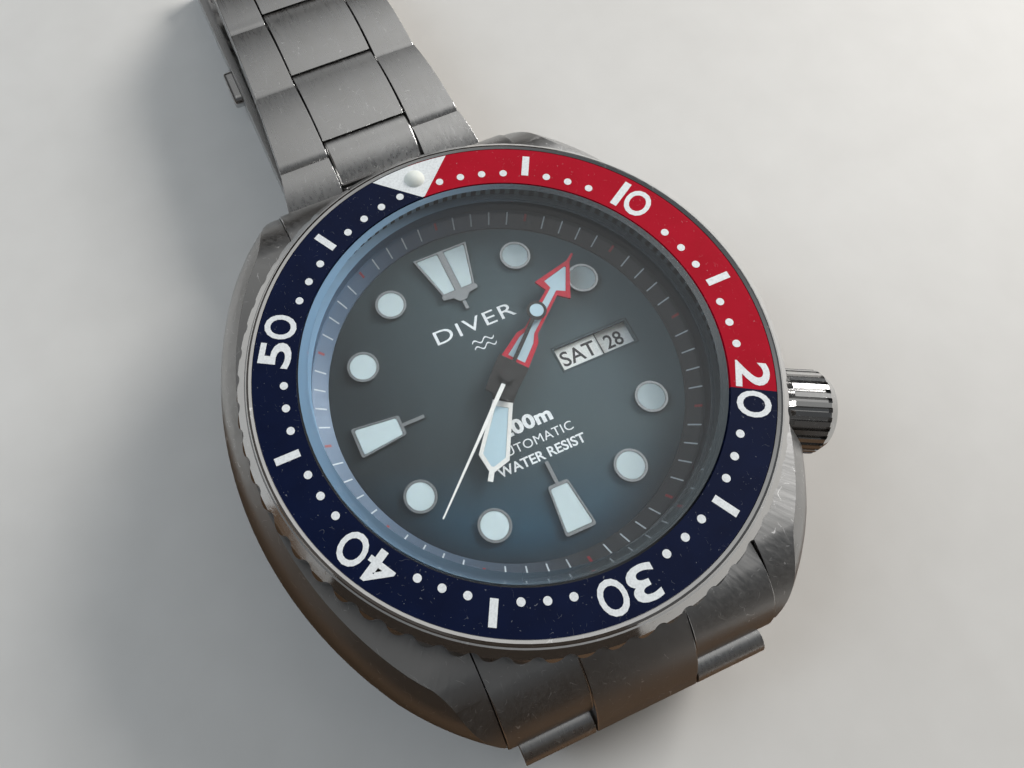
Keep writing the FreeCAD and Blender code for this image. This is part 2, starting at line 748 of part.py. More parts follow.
def train_bridge():
    bridge = cylinder(MOVEMENT_R, BRIDGE_BASE, BRIDGE_TOP).cut(cock_region())
    bridge = with_jewel_seats(bridge)
    bridge = bridge.fuse(rotor_bearing())
    bridge = bridge.cut(cylinder(0.2, 0, BRIDGE_TOP + 1))
    arbor_hole = cylinder(0.42, BRIDGE_BASE - 1, BRIDGE_TOP + 1, BARREL_AT.x, BARREL_AT.y)
    bridge = bridge.cut(arbor_hole)
    for angle in SCREW_ANGLES:
        place = clockwise(MOVEMENT_R - 0.5, angle)
        bridge = bridge.cut(cylinder(0.3, BRIDGE_BASE - 1, BRIDGE_TOP + 1, place.x, place.y))
    return bridge


def balance_cock():
    """An arm from the plate's rim that reaches over the balance's pivot."""
    region = cock_region()
    region.scale(0.97, clockwise(MOVEMENT_R, ESCAPE_ANGLE, BRIDGE_TOP))
    arm = cylinder(MOVEMENT_R, BRIDGE_BASE, BRIDGE_TOP - 0.15).common(region)
    feet = ring(MOVEMENT_R, MOVEMENT_R - 0.9, BRIDGE_BASE, BRIDGE_TOP).common(region)
    cock = fused(arm, feet)
    cock = cock.cut(cylinder(0.13, 0, 4, BALANCE_AT.x, BALANCE_AT.y))
    hole = clockwise(MOVEMENT_R - 0.5, ESCAPE_ANGLE)
    return cock.cut(cylinder(0.3, 0, 4, hole.x, hole.y))


def movement_screws():
    screws = []
    for angle in SCREW_ANGLES + (ESCAPE_ANGLE,):
        place = clockwise(MOVEMENT_R - 0.5, angle)
        floor = BRIDGE_TOP if angle == ESCAPE_ANGLE else 5.5
        head = cylinder(0.46, BRIDGE_BASE - 0.3, BRIDGE_BASE, place.x, place.y)
        slot = block(-0.6, 0.6, -0.08, 0.08, BRIDGE_BASE - 0.4, BRIDGE_BASE - 0.15)
        slot.translate(Vec(place.x, place.y, 0))
        shank = cylinder(0.28, BRIDGE_BASE, floor, place.x, place.y)
        screws.append(head.cut(slot).fuse(shank))
    return screws


def movement_ring():
    """The spacer that holds the movement in the case, open where the stem passes."""
    spacer = ring(CAVITY_R - 0.08, MOVEMENT_R + 0.03, 2.7, DIAL_BASE - 0.02)
    return spacer.cut(along_stem(1.0, 12.0, 17.0))


def barrel():
    """A toothed drum with a lid, hollow for the mainspring, on its arbor."""
    x, y = BARREL_AT.x, BARREL_AT.y
    face = BARREL_ANGLE + 180
    teeth = gear(BARREL_TEETH, BARREL_MODULE, 4.3, 4.5, BARREL_AT, face, True, 0.25)
    drum = ring(4.75, 4.55, 4.45, 5.7, x, y)
    lid = ring(4.75, 0.45, 5.6, 5.75, x, y)
    return fused(teeth, drum, lid)


def barrel_arbor():
    """The post the mainspring winds round, held in the bridge and the plate."""
    x, y = BARREL_AT.x, BARREL_AT.y
    post = cylinder(0.4, BRIDGE_BASE + 0.05, 6.3, x, y)
    return post.cut(ring(1.0, 0.22, 4.25, 4.55, x, y))


def mainspring():
    return spiral(0.62, 4.4, 8, 0.12, 4.55, 5.55, BARREL_AT)


def centre_wheel():
    origin = Vec(0, 0, 0)
    module = 2 * TRAIN_DISTANCE / (CENTRE_TEETH + THIRD_PINION_TEETH)
    wheel = gear(CENTRE_TEETH, module, 4.05, 4.2, origin, THIRD_ANGLE, True, 0.14)
    wheel = spoked(wheel, 3.3, 1.1, 5, 4.05, 4.2, origin)
    pinion = gear(CENTRE_PINION_TEETH, BARREL_MODULE, 4.2, 4.75, origin, BARREL_ANGLE, False)
    tube = cylinder(0.33, 4.2, 9.1)
    return fused(wheel, pinion, tube).cut(cylinder(0.13, 4.0, 9.5))


def third_wheel():
    back = THIRD_ANGLE + 180
    pinion_module = 2 * TRAIN_DISTANCE / (CENTRE_TEETH + THIRD_PINION_TEETH)
    wheel_module = 2 * TRAIN_DISTANCE / (THIRD_TEETH + FOURTH_PINION_TEETH)
    wheel = gear(THIRD_TEETH, wheel_module, 3.75, 3.88, THIRD_AT, back, True)
    wheel = spoked(wheel, 3.3, 0.8, 5, 3.75, 3.88, THIRD_AT)
    pinion = gear(THIRD_PINION_TEETH, pinion_module, 3.88, 4.4, THIRD_AT, back, False)
    return fused(wheel, pinion, arbor(THIRD_AT, 3.05, 5.25))


def fourth_wheel():
    origin = Vec(0, 0, 0)
    pinion_module = 2 * TRAIN_DISTANCE / (THIRD_TEETH + FOURTH_PINION_TEETH)
    wheel = gear(FOURTH_TEETH, FOURTH_MODULE, 3.52, 3.65, origin, ESCAPE_ANGLE, True)
    wheel = spoked(wheel, 3.35, 0.8, 5, 3.52, 3.65, origin)
    pinion = gear(FOURTH_PINION_TEETH, pinion_module, 3.65, 3.98, origin, THIRD_ANGLE, False)
    staff = cylinder(0.1, 3.02, SECOND_HAND_Z + 0.2)
    return fused(wheel, pinion, staff)


def escape_wheel():
    """Fifteen hooked club teeth on a seven-leaf pinion."""
    back = ESCAPE_ANGLE + 180
    pinion = gear(
        ESCAPE_PINION_TEETH, FOURTH_MODULE, 3.48, 3.95, ESCAPE_AT, back, False
    )
    points = []
    for index in range(15):
        for share, radius in ((0.0, 1.95), (0.16, 2.1), (0.22, 1.6), (0.8, 1.5)):
            point = clockwise(radius, 24 * (index + share))
            points.append((point.x + ESCAPE_AT.x, point.y + ESCAPE_AT.y))
    wheel = prism(points, 4.42, 4.55)
    wheel = spoked(wheel, 1.3, 0.45, 4, 4.42, 4.55, ESCAPE_AT)
    return fused(wheel, pinion, arbor(ESCAPE_AT, 3.05, 5.25, 0.2))


def pallet_fork():
    """Two pallet arms, a lever and its notch, drawn towards the balance along +Y."""
    points = [(-1.35, -0.95), (-1.05, -1.05), (-0.45, -0.2), (0.45, -0.2), (1.05, -1.05),
              (1.35, -0.95), (0.6, 0.25), (0.14, 0.45), (0.14, 1.25), (0.3, 1.5), (0.2, 1.6),
              (0.07, 1.42), (-0.07, 1.42), (-0.2, 1.6), (-0.3, 1.5), (-0.14, 1.25),
              (-0.14, 0.45), (-0.6, 0.25)]
    lever = prism(points, 4.42, 4.55)
    lever = spin(lever, ESCAPE_ANGLE)
    lever.translate(PALLET_AT)
    return fused(lever, arbor(PALLET_AT, PALLET_COCK_LOW + 0.02, 5.25, 0.16))


def pallet_cock():
    """A bar under the fork, on two posts that hang from the main plate."""
    reach, thick = 1.9, 0.36
    top = PALLET_COCK_LOW + thick
    parts = [block(-reach, reach, -0.35, 0.35, PALLET_COCK_LOW, top)]
    parts.append(cylinder(0.75, PALLET_COCK_LOW, top))
    for side in (1, -1):
        parts.append(cylinder(0.35, PALLET_COCK_LOW, PLATE_BASE, side * reach, 0))
    cock = spin(fused(*parts), ESCAPE_ANGLE)
    cock.translate(PALLET_AT)
    return with_jewel_seats(cock)


def balance_wheel():
    """A heavy rim on two arms, its staff, and the roller with an impulse pin."""
    x, y = BALANCE_AT.x, BALANCE_AT.y
    rim = ring(BALANCE_R, BALANCE_R - 0.45, 3.7, 4.15, x, y)
    arm = block(-BALANCE_R + 0.2, BALANCE_R - 0.2, -0.2, 0.2, 3.8, 3.95)
    arm.translate(Vec(x, y, 0))
    arm = spin(arm, ESCAPE_ANGLE, Vec(x, y, 0))
    roller = cylinder(0.5, 4.15, 4.3, x, y)
    pin_at = BALANCE_AT - clockwise(0.42, ESCAPE_ANGLE)
    pin = cylinder(0.06, 4.25, 4.5, pin_at.x, pin_at.y)
    return fused(rim, arm, roller, pin, arbor(BALANCE_AT, 3.05, 5.25, 0.22))


def hairspring():
    return spiral(0.35, 1.9, 6, 0.05, 3.5, 3.62, BALANCE_AT)


def cannon_pinion():
    """The driven tube of the minute hand, with twelve leaves at its foot."""
    facing = MINUTE_WHEEL_ANGLE
    leaves = gear(CANNON_TEETH, motion_module_low(), 6.3, 6.62, Vec(0, 0, 0), facing, False)
    tube = cylinder(0.5, 6.3, MINUTE_HAND_Z + HAND_THICK + 0.1)
    return leaves.fuse(tube).cut(cylinder(0.36, 6.0, 10.0))


def motion_module_low():
    return 2 * MOTION_DISTANCE / (CANNON_TEETH + MINUTE_WHEEL_TEETH)


def motion_module_high():
    return 2 * MOTION_DISTANCE / (MINUTE_PINION_TEETH + HOUR_TEETH)


def minute_wheel():
    centre = MINUTE_WHEEL_AT
    back = MINUTE_WHEEL_ANGLE + 180
    wheel = gear(MINUTE_WHEEL_TEETH, motion_module_low(), 6.4, 6.55, centre, back, True)
    pinion = gear(MINUTE_PINION_TEETH, motion_module_high(), 6.55, 6.95, centre, back, False)
    return wheel.fuse(pinion).cut(cylinder(0.23, 6.0, 8.0, centre.x, centre.y))


def hour_wheel():
    facing = MINUTE_WHEEL_ANGLE
    wheel = gear(HOUR_TEETH, motion_module_high(), 6.75, 6.9, Vec(0, 0, 0), facing, True)
    pipe = cylinder(0.8, 6.75, HOUR_HAND_Z + HAND_THICK + 0.05)
    return wheel.fuse(pipe).cut(cylinder(0.55, 6.0, 10.0))


def date_disc():
    """A printed ring with inner driving teeth, 31 to the turn."""
    disc = ring(12.6, 8.2, 7.0, 7.15)
    teeth = ratchet_cutter(31, 7.4, 8.1, 7.0, 7.15)
    return disc.fuse(ring(8.6, 6.9, 7.0, 7.15).cut(teeth))


def day_disc():
    star_hole = cylinder(0.9, 7.1, 7.6)
    return cylinder(8.45, 7.28, 7.42).cut(star_hole)


def rotor_weight():
    """A half-disc web with a heavy rim, turning on a ring at the bridge's boss."""
    half_plane = block(-20, 20, -20, 0, 0, 5)
    web = cylinder(ROTOR_R - 1.0, 1.75, 2.05).common(half_plane)
    rim = ring(ROTOR_R, ROTOR_R - 3.0, 1.35, 2.3).common(half_plane)
    hub = cylinder(2.3, 1.6, 2.35)
    windows = ring(8.6, 3.6, 1.0, 3.0).common(half_plane)
    for degrees in (120, 180, 240):
        windows = windows.cut(spin(block(-0.7, 0.7, 0, 12, 0, 5), degrees))
    edge = prism([(-20, -1.2), (20, -1.2), (20, 0), (-20, 0)], 0, 5)
    rotor = fused(web, rim).cut(windows.cut(edge))
    return fused(rotor, hub).cut(cylinder(1.35, 0, 5))


def rotor_bearing():
    """The fixed inner race, with a flanged head that keeps the rotor on."""
    race = cylinder(1.3, 1.5, BRIDGE_BASE + 0.1)
    head = cylinder(1.75, 1.3, 1.55)
    bearing = fused(race, head)
    return bearing.cut(block(-2, 2, -0.15, 0.15, 1.2, 1.42))


# ---- bracelet ----------------------------------------------------------------------------
class Link:
    """One bracelet link: its near hinge, its heading in the YZ plane, pitch and widths."""

    def __init__(self, near, heading, pitch, half_near, half_far):
        self.near = near
        self.heading = heading
        self.pitch = pitch
        self.half_near = half_near
        self.half_far = half_far

    def far(self):
        angle = math.radians(self.heading)
        y = self.near[0] + self.pitch * math.cos(angle)
        z = self.near[1] + self.pitch * math.sin(angle)
        return (y, z)


def chain(start, headings, halves, inward):
    """Places links end to end. inward is +1 when the wrist side is below the heading."""
    links = []
    near = start
    for index, heading in enumerate(headings):
        pitch = FIRST_LINK_PITCH if index == 0 else LINK_PITCH
        link = Link(near, heading, pitch, halves[index], halves[index + 1])
        link.inward = inward
        links.append(link)
        near = link.far()
    return links


TOP_HEADINGS = (18.1, 0.0, 0.0, -5.0, -37.8)
TOP_HALVES = (10.0, 9.1, 8.45, 8.1, 7.9, 7.8)
UNDER_HEADINGS = (-80.0, 0.0, 0.0, 0.0, 0.0, 0.0)
UNDER_HALVES = (10.0, 9.1, 8.45, 8.1, 7.9, 7.9, 7.9)
TOP_CHAIN = chain((HINGE_Y, HINGE_Z), TOP_HEADINGS, TOP_HALVES, 1)
UNDER_CHAIN = chain((-HINGE_Y, HINGE_Z), UNDER_HEADINGS, UNDER_HALVES, -1)
CLASP_END = TOP_CHAIN[-1].far()[0] + 1.9
BLADE_PIVOT = UNDER_CHAIN[-1].far()
OPEN_PIVOT = TOP_CHAIN[-1].far()


def side_profile(start, end, near_round, far_round, near_lip=True):
    """A link piece seen from the side, along +Y from its near hinge at y = 0.

    A rounded end wraps its own hinge; the other end is hollowed on the outer side only, so
    that the neighbour can fold inwards."""
    top = LINK_END_R
    crest = LINK_END_R + LINK_CROWN
    clear = LINK_END_R + LINK_GAP
    lip = math.sqrt(clear ** 2 - top ** 2)
    slant = math.sqrt(0.5)
    steps = []
    if near_round:
        first = Vec(0, start, -top)
        steps.append((Vec(0, start - top, 0), Vec(0, start, top)))
        left_top = start
    elif near_lip:
        first = Vec(0, start + clear, -top)
        steps.append(Vec(0, start + clear, 0))
        steps.append((Vec(0, start + clear * slant, clear * slant), Vec(0, start + lip, top)))
        left_top = start + lip
    else:
        first = Vec(0, start + clear, -top)
        steps.append(Vec(0, start + clear, top))
        left_top = start + clear
    right_top = end if far_round else end - lip
    middle = (left_top + right_top) / 2
    steps.append((Vec(0, middle, crest), Vec(0, right_top, top)))
    if far_round:
        steps.append((Vec(0, end + top, 0), Vec(0, end, -top)))
    else:
        steps.append((Vec(0, end - clear * slant, clear * slant), Vec(0, end - clear, 0)))
        steps.append(Vec(0, end - clear, -top))
    return outline(first, *steps)


def slab(face, x_low, x_high):
    copy = face.copy()
    copy.translate(Vec(x_low, 0, 0))
    return copy.extrude(Vec(x_high - x_low, 0, 0))


def soften(solid, size):
    """Rounds a link piece's long edges where the geometry allows it."""
    edges = [edge for edge in solid.Edges if edge.Length > 1.5]
    try:
        return solid.makeChamfer(size, edges)
    except Exception:
        return solid


def place_link(shape, link):
    """Moves a link from its own frame, heading +Y, to its place in the bracelet."""
    copy = shape.copy()
    if link.inward < 0:
        copy = copy.mirror(Vec(0, 0, 0), Vec(0, 0, 1))
    copy.rotate(Vec(0, 0, 0), ACROSS, link.heading)
    copy.translate(Vec(0, link.near[0], link.near[1]))
    return copy


def link_pieces(link, far_hole):
    """Two outer pieces and a centre piece on a hidden joiner, then the near pin.

    The next pin or bar runs through the centre piece's far hole."""
    widest = max(link.half_near, link.half_far) + 0.1
    outer_face = side_profile(0, link.pitch, True, False)
    lipped = link.pitch > FIRST_LINK_PITCH
    centre_face = side_profile(0, link.pitch, False, True, lipped)
    plan_start = -LINK_END_R - 1
    plan_end = link.pitch + LINK_END_R + 1
    taper = (link.half_far - link.half_near) / link.pitch
    wide_start = link.half_near + taper * plan_start
    wide_end = link.half_near + taper * plan_end
    plan = prism(
        [(-wide_start, plan_start), (wide_start, plan_start), (wide_end, plan_end),
         (-wide_end, plan_end)], -4, 4)
    inner = CENTRE_HALF + LINK_GAP
    chamfer = 0.14
    outers = []
    for side in (1, -1):
        low, high = sorted((side * inner, side * widest))
        piece = slab(outer_face, low, high).common(plan)
        piece = soften(piece.Solids[0], chamfer)
        piece = piece.cut(bar_x(PIN_R, -12, 12, 0, 0))
        outers.append(piece)
    centre = soften(slab(centre_face, -CENTRE_HALF, CENTRE_HALF), chamfer)
    centre = centre.cut(bar_x(far_hole, -12, 12, link.pitch, 0))
    join_y = link.pitch / 2
    join_low = -0.55
    joiner = block(-inner - 0.6, inner + 0.6, join_y - 0.55, join_y + 0.55, join_low, 0.55)
    body = fused(outers[0], centre, outers[1], joiner)
    pin_reach = min(link.half_near, link.half_far) - 0.35
    pin = bar_x(PIN_R, -pin_reach, pin_reach, 0, 0)
    return [place_link(body, link), place_link(pin, link)]


def end_link(y_sign):
    """The piece between the lugs: a raised centre that carries the first hinge."""
    half = LUG_GAP / 2 - 0.08
    inner = CENTRE_HALF + LINK_GAP
    wall_y = LUG_WALL_R - 3.6
    clear = LINK_END_R + LINK_GAP

    def at(y, z):
        return Vec(0, y, z)

    slant = math.sqrt(0.5)
    outer_face = outline(
        at(wall_y, 2.2),
        at(wall_y, 9.0),
        at(19.7, 8.75),
        (at(22.6, 7.3), at(HINGE_Y - 0.35, HINGE_Z + clear + 0.35)),
        at(HINGE_Y - 0.35, HINGE_Z + clear),
        (at(HINGE_Y - clear * slant, HINGE_Z + clear * slant), at(HINGE_Y - clear, HINGE_Z)),
        at(HINGE_Y - clear, 2.2),
    )
    wrap = math.radians(48)
    wrap_y = HINGE_Y + LINK_END_R * math.cos(wrap)
    wrap_z = HINGE_Z + LINK_END_R * math.sin(wrap)
    centre_face = outline(
        at(wall_y, 2.0),
        at(wall_y, 9.0),
        at(19.5, 9.1),
        (at(23.05, 7.0), at(wrap_y, wrap_z)),
        (at(HINGE_Y + LINK_END_R * slant, HINGE_Z - LINK_END_R * slant),
         at(HINGE_Y, HINGE_Z - LINK_END_R)),
        at(HINGE_Y - 1.5, HINGE_Z - LINK_END_R + 0.4),
        at(21.5, 2.0),
    )
    left = slab(outer_face, -half, -inner + 0.3)
    right = slab(outer_face, inner - 0.3, half)
    centre = slab(centre_face, -inner + 0.15, inner - 0.15)
    body = fused(left, centre, right).cut(cylinder(LUG_WALL_R + 0.08, 0, 12))
    body = body.cut(bar_x(PIN_R + RUNNING, -12, 12, HINGE_Y, HINGE_Z))
    body = body.cut(bar_x(0.8, -12, 12, BAR_Y, BAR_Z))
    return body if y_sign > 0 else spin(body, 180)


def lug_spring_bars():
    """Two sprung bars: a sleeve, a collar at each end, and the pivots in the lugs."""
    bars = []
    for sign in (1, -1):
        sleeve = bar_x(0.75, -10.6, 10.6, sign * BAR_Y, BAR_Z)
        pivots = bar_x(0.5, -12.2, 12.2, sign * BAR_Y, BAR_Z)
        bars.append(fused(sleeve, pivots))
    return bars


# ---- clasp -------------------------------------------------------------------------------
def clasp_cover():
    """A shallow tray: floor, two side walls, two bars, and holes for the bracelet's bar."""
    inside = CLASP_HALF - CLASP_WALL
    tray = block(-CLASP_HALF, CLASP_HALF, CLASP_START, CLASP_END, CLASP_FLOOR, CLASP_RIM)
    room = block(-inside, inside, CLASP_START - 1, CLASP_END + 1,
                 CLASP_FLOOR + CLASP_PLATE, CLASP_RIM + 1)
    tray = tray.cut(room)
    mouth = block(-inside, inside, CLASP_PLATE_END, CLASP_END + 1,
                  CLASP_FLOOR - 1, CLASP_RIM + 1)
    tray = tray.cut(mouth)
    long_edges = [edge for edge in tray.Edges if edge.Length > 30 and
                  edge.BoundBox.ZMax < CLASP_FLOOR + 0.01]
    tray = tray.makeFillet(0.6, long_edges)
    for side in (1, -1):
        low, high = sorted((side * (inside - 0.5), side * (CLASP_HALF + 0.5)))
        slot = block(low, high, BUTTON_Y - 2.45, BUTTON_Y + 2.45, BUTTON_Z - 0.85,
                     BUTTON_Z + 0.85)
        tray = tray.cut(slot)
    tray = tray.cut(bar_x(CLASP_BAR_R + RUNNING, -10, 10, *OPEN_PIVOT))
    bars = []
    for y, z in (COVER_HINGE, LOCK_HINGE):
        tray = tray.cut(bar_x(CLASP_BAR_R, -10, 10, y, z))
        bars.append(bar_x(CLASP_BAR_R, -8.7, 8.7, y, z))
    return [tray] + bars


def knuckle(radius, hole, x_low, x_high, centre):
    outer = bar_x(radius, x_low, x_high, centre[0], centre[1])
    return outer.cut(bar_x(hole, x_low - 1, x_high + 1, centre[0], centre[1]))


def clasp_outer_blade():
    """The wide leaf from the cover's hinge to the fold."""
    half = 7.4
    low = CLASP_FLOOR + CLASP_PLATE + 0.15
    leaf = block(-half, half, COVER_HINGE[0] + 0.1, FOLD_HINGE[0] - 0.4, low, low + 0.65)
    window = block(-half + 2.2, half - 2.2, 28.0, 46.0, low - 1, low + 2)
    barrel_end = bar_x(0.58, -half, half, *COVER_HINGE)
    sides = [bar_x(0.85, *sorted((side * 4.2, side * half)), *FOLD_HINGE) for side in (1, -1)]
    mid_room = bar_x(0.95, -4.1, 4.1, *FOLD_HINGE)
    leaf = fused(leaf.cut(window).cut(mid_room), barrel_end, *sides)
    leaf = leaf.cut(bar_x(CLASP_BAR_R + 0.03, -10, 10, *COVER_HINGE))
    leaf = leaf.cut(bar_x(0.4, -10, 10, *FOLD_HINGE))
    pin = bar_x(0.4, -half + 0.1, half - 0.1, *FOLD_HINGE)
    return [leaf, pin]


def clasp_inner_blade():
    """The narrow leaf from the fold back to the bracelet's other end."""
    half = 6.6
    low = CLASP_FLOOR + CLASP_PLATE + 1.25
    leaf = block(-half, half, BLADE_PIVOT[0] + 1.9, FOLD_HINGE[0] - 1.1, low, low + 0.65)
    tongue = block(-4.0, 4.0, FOLD_HINGE[0] - 1.3, FOLD_HINGE[0], low, low + 0.65)
    fold = bar_x(0.85, -4.0, 4.0, FOLD_HINGE[0], FOLD_HINGE[1])
    window = block(-half + 2.0, half - 2.0, 27.0, 44.0, low - 1, low + 2)
    pieces = [leaf.cut(window), tongue, fold]
    for side in (1, -1):
        x_low, x_high = sorted((side * (CENTRE_HALF + 0.25), side * half))
        pieces.append(bar_x(1.15, x_low, x_high, *BLADE_PIVOT))
        pieces.append(block(x_low, x_high, BLADE_PIVOT[0], BLADE_PIVOT[0] + 2.0, low, low + 0.65))
    blade = fused(*pieces)
    blade = blade.cut(bar_x(CLASP_BAR_R, -10, 10, *BLADE_PIVOT))
    blade = blade.cut(bar_x(0.4 + RUNNING, -10, 10, *FOLD_HINGE))
    return [blade, bar_x(CLASP_BAR_R, -half, half, *BLADE_PIVOT)]


def clasp_button(side):
    """A pill-shaped push button in the cover's side wall."""
    half_long, half_high = 2.35, 0.75
    low, high = 7.95, CLASP_HALF + 1.0

    def at(y, z):
        return Vec(low, BUTTON_Y + y, BUTTON_Z + z)

    straight = half_long - half_high
    face = outline(
        at(-straight, -half_high),
        at(straight, -half_high),
        (at(half_long, 0), at(straight, half_high)),
        at(-straight, half_high),
        (at(-half_long, 0), at(-straight, -half_high)),
    )
    button = face.extrude(Vec(high - low, 0, 0))
    outer_edges = [edge for edge in button.Edges if edge.BoundBox.XMin > high - 0.01]
    button = button.makeFillet(0.3, outer_edges)
    if side < 0:
        button = button.mirror(Vec(0, 0, 0), ACROSS)
    return button


def clasp_safety_lock():
    """The flap that closes the cover's mouth, with a lip to lift it by."""
    inside = CLASP_HALF - CLASP_WALL - 0.1
    top = CLASP_FLOOR + 0.55
    flap = block(-inside, inside, CLASP_PLATE_END + 0.35, CLASP_END - 0.3, CLASP_FLOOR, top)
    hinge = bar_x(0.6, -inside, inside, LOCK_HINGE[0], LOCK_HINGE[1] + 0.18)
    lip = block(-4.0, 4.0, CLASP_END - 0.4, CLASP_END + 0.5, CLASP_FLOOR, top)
    flap = fused(flap, hinge, lip)
    flap = flap.common(block(-20, 20, 0, 100, CLASP_FLOOR, 0))
    return flap.cut(bar_x(CLASP_BAR_R + 0.03, -10, 10, *LOCK_HINGE))


# ---- everything, one file to each node ---------------------------------------------------
def build_case():
    save("case_middle", case_middle())
    save("case_back", case_back())
    save("crown_tube", crown_tube())
    save("crown", crown())
    save("stem", stem())
    save("bezel_ring", bezel_ring())
    save("bezel_insert", bezel_insert())
    save("bezel_pearl", bezel_pearl())
    save("bezel_click_spring", bezel_click_spring())
    save("crystal", crystal())
    save("sealing_rings", *sealing_rings())
    save("chapter_ring", chapter_ring())
    save("dial", dial())
    save("hour_markers", *hour_markers())


def build_movement():
    save("movement_ring", movement_ring())
    save("main_plate", main_plate(), pallet_cock())
    save("train_bridge", train_bridge())
    save("balance_cock", balance_cock())
    save("movement_screws", *movement_screws())
    save("jewels", *jewels())
    save("sliding_pinion", sliding_pinion())
    save("barrel", barrel())
    save("barrel_arbor", barrel_arbor())
    save("mainspring", mainspring())
    save("centre_wheel", centre_wheel())
    save("third_wheel", third_wheel())
    save("fourth_wheel", fourth_wheel())
    save("escape_wheel", escape_wheel())
    save("pallet_fork", pallet_fork())
    save("balance_wheel", balance_wheel())
    save("hairspring", hairspring())
    save("cannon_pinion", cannon_pinion())
    save("minute_wheel", minute_wheel())
    save("hour_wheel", hour_wheel())
    save("date_disc", date_disc())
    save("day_disc", day_disc())
    save("rotor_weight", rotor_weight())
    save("hour_hand", hour_hand())
    save("minute_hand", minute_hand())
    save("seconds_hand", seconds_hand())


def build_bracelet():
    save("lug_spring_bars", *lug_spring_bars())
    save("end_link_top", end_link(1))
    save("end_link_under", end_link(-1))
    for index, link in enumerate(TOP_CHAIN):
        last = index == len(TOP_CHAIN) - 1
        pieces = link_pieces(link, CLASP_BAR_R if last else PIN_R + RUNNING)
        if last:
            pieces.append(bar_x(CLASP_BAR_R, -PRESSED_BAR_HALF, PRESSED_BAR_HALF, *OPEN_PIVOT))
        save("top_link_%d" % (index + 1), *pieces)
    for index, link in enumerate(UNDER_CHAIN):
        last = index == len(UNDER_CHAIN) - 1
        hole = RUNNING + (CLASP_BAR_R if last else PIN_R)
        save("under_link_%d" % (index + 1), *link_pieces(link, hole))
    save("clasp_cover", *clasp_cover())
    save("clasp_outer_blade", *clasp_outer_blade())
    save("clasp_inner_blade", *clasp_inner_blade())
    save("clasp_button_left", clasp_button(-1))
    save("clasp_button_right", clasp_button(1))
    save("clasp_safety_lock", clasp_safety_lock())


build_case()
build_movement()
build_bracelet()
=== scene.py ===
"""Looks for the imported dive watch: print, lume, bevelled steel, glass, light and camera."""

import json
import math

import bmesh
import bpy
from mathutils import Matrix, Vector


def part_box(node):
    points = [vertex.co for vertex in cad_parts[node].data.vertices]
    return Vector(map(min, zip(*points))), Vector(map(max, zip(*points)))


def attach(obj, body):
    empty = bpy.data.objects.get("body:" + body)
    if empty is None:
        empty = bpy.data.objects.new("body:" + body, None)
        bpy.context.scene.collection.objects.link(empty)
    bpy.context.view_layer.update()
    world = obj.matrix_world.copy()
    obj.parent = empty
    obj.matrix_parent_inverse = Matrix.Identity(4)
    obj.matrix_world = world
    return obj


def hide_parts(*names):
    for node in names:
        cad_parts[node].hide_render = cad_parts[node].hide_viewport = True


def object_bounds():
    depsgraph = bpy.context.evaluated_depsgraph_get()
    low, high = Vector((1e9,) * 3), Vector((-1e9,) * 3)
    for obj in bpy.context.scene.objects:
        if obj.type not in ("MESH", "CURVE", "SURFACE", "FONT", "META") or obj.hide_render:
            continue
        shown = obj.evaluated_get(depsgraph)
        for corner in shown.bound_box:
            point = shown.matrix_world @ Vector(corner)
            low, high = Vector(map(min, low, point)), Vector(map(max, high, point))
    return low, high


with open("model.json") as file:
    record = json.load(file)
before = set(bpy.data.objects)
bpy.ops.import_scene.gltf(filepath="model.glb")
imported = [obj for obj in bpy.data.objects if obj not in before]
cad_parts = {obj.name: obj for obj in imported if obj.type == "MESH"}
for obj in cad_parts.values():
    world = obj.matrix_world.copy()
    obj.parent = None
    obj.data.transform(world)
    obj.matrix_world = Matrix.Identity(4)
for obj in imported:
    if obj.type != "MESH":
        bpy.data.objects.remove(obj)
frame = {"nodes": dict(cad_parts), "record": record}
cad_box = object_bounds()

# ---- driving dimensions, in millimetres of the row frame unless they say otherwise -------
MM = 0.001
FULL_TURN = 360.0


def corner(node, which):
    """A CAD node's lowest (0) or highest (1) corner, in millimetres."""
    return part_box(node)[which] / MM


# Where the hands point, in degrees clockwise from 12.
MINUTE_CLOCKWISE = 51.8
HOUR_CLOCKWISE = 214.3
SECOND_CLOCKWISE = 228.4

# Print and lume: how far they stand proud of a surface, and how far they reach into it.
PRINT = 0.012
PRINT_ROOT = 0.01
WORD_ROOT = 0.004
LUME_ROOT = 0.03
LUME_DEEP = 0.14

# The crystal and the bezel's insert round it.
CRYSTAL_R = corner("crystal", 1).x
CRYSTAL_BEVEL = 0.75
INSERT_TOP = corner("bezel_insert", 1).z
INSERT_OUTER = corner("bezel_insert", 1).x
INSERT_INNER = CRYSTAL_R + 0.17
RED_MINUTES = 20
DOT_CIRCLE = 16.75
DOT_R = 0.3
BAR_MIDDLE = 17.55
BAR_LONG = 1.85
BAR_WIDE = 0.56
TRIANGLE_HALF = 3.25
TRIANGLE_TIP_HALF = 0.1
NUMERAL_MIDDLE = 17.45
NUMERAL_HIGH = 2.45
FIGURE_WIDE = 2.05
ZERO_WIDE = 2.02
FIGURE_GAP = 0.24
FIGURE_BOLD = 0.022

# The dial and the sloped minute ring round it. A tick is its start, end and half width.
DIAL_TOP = corner("dial", 1).z
RING_OUTER = corner("chapter_ring", 1).x
RING_INNER = 13.9
RING_FOOT = DIAL_TOP + 0.2
RING_SHOULDER = DIAL_TOP + 1.15
RING_WALL = 0.2
RING_TURN = 2.2
WHITE_TICK = (0.18, 0.88, 0.055)
RED_TICK = (0.45, 0.85, 0.1)

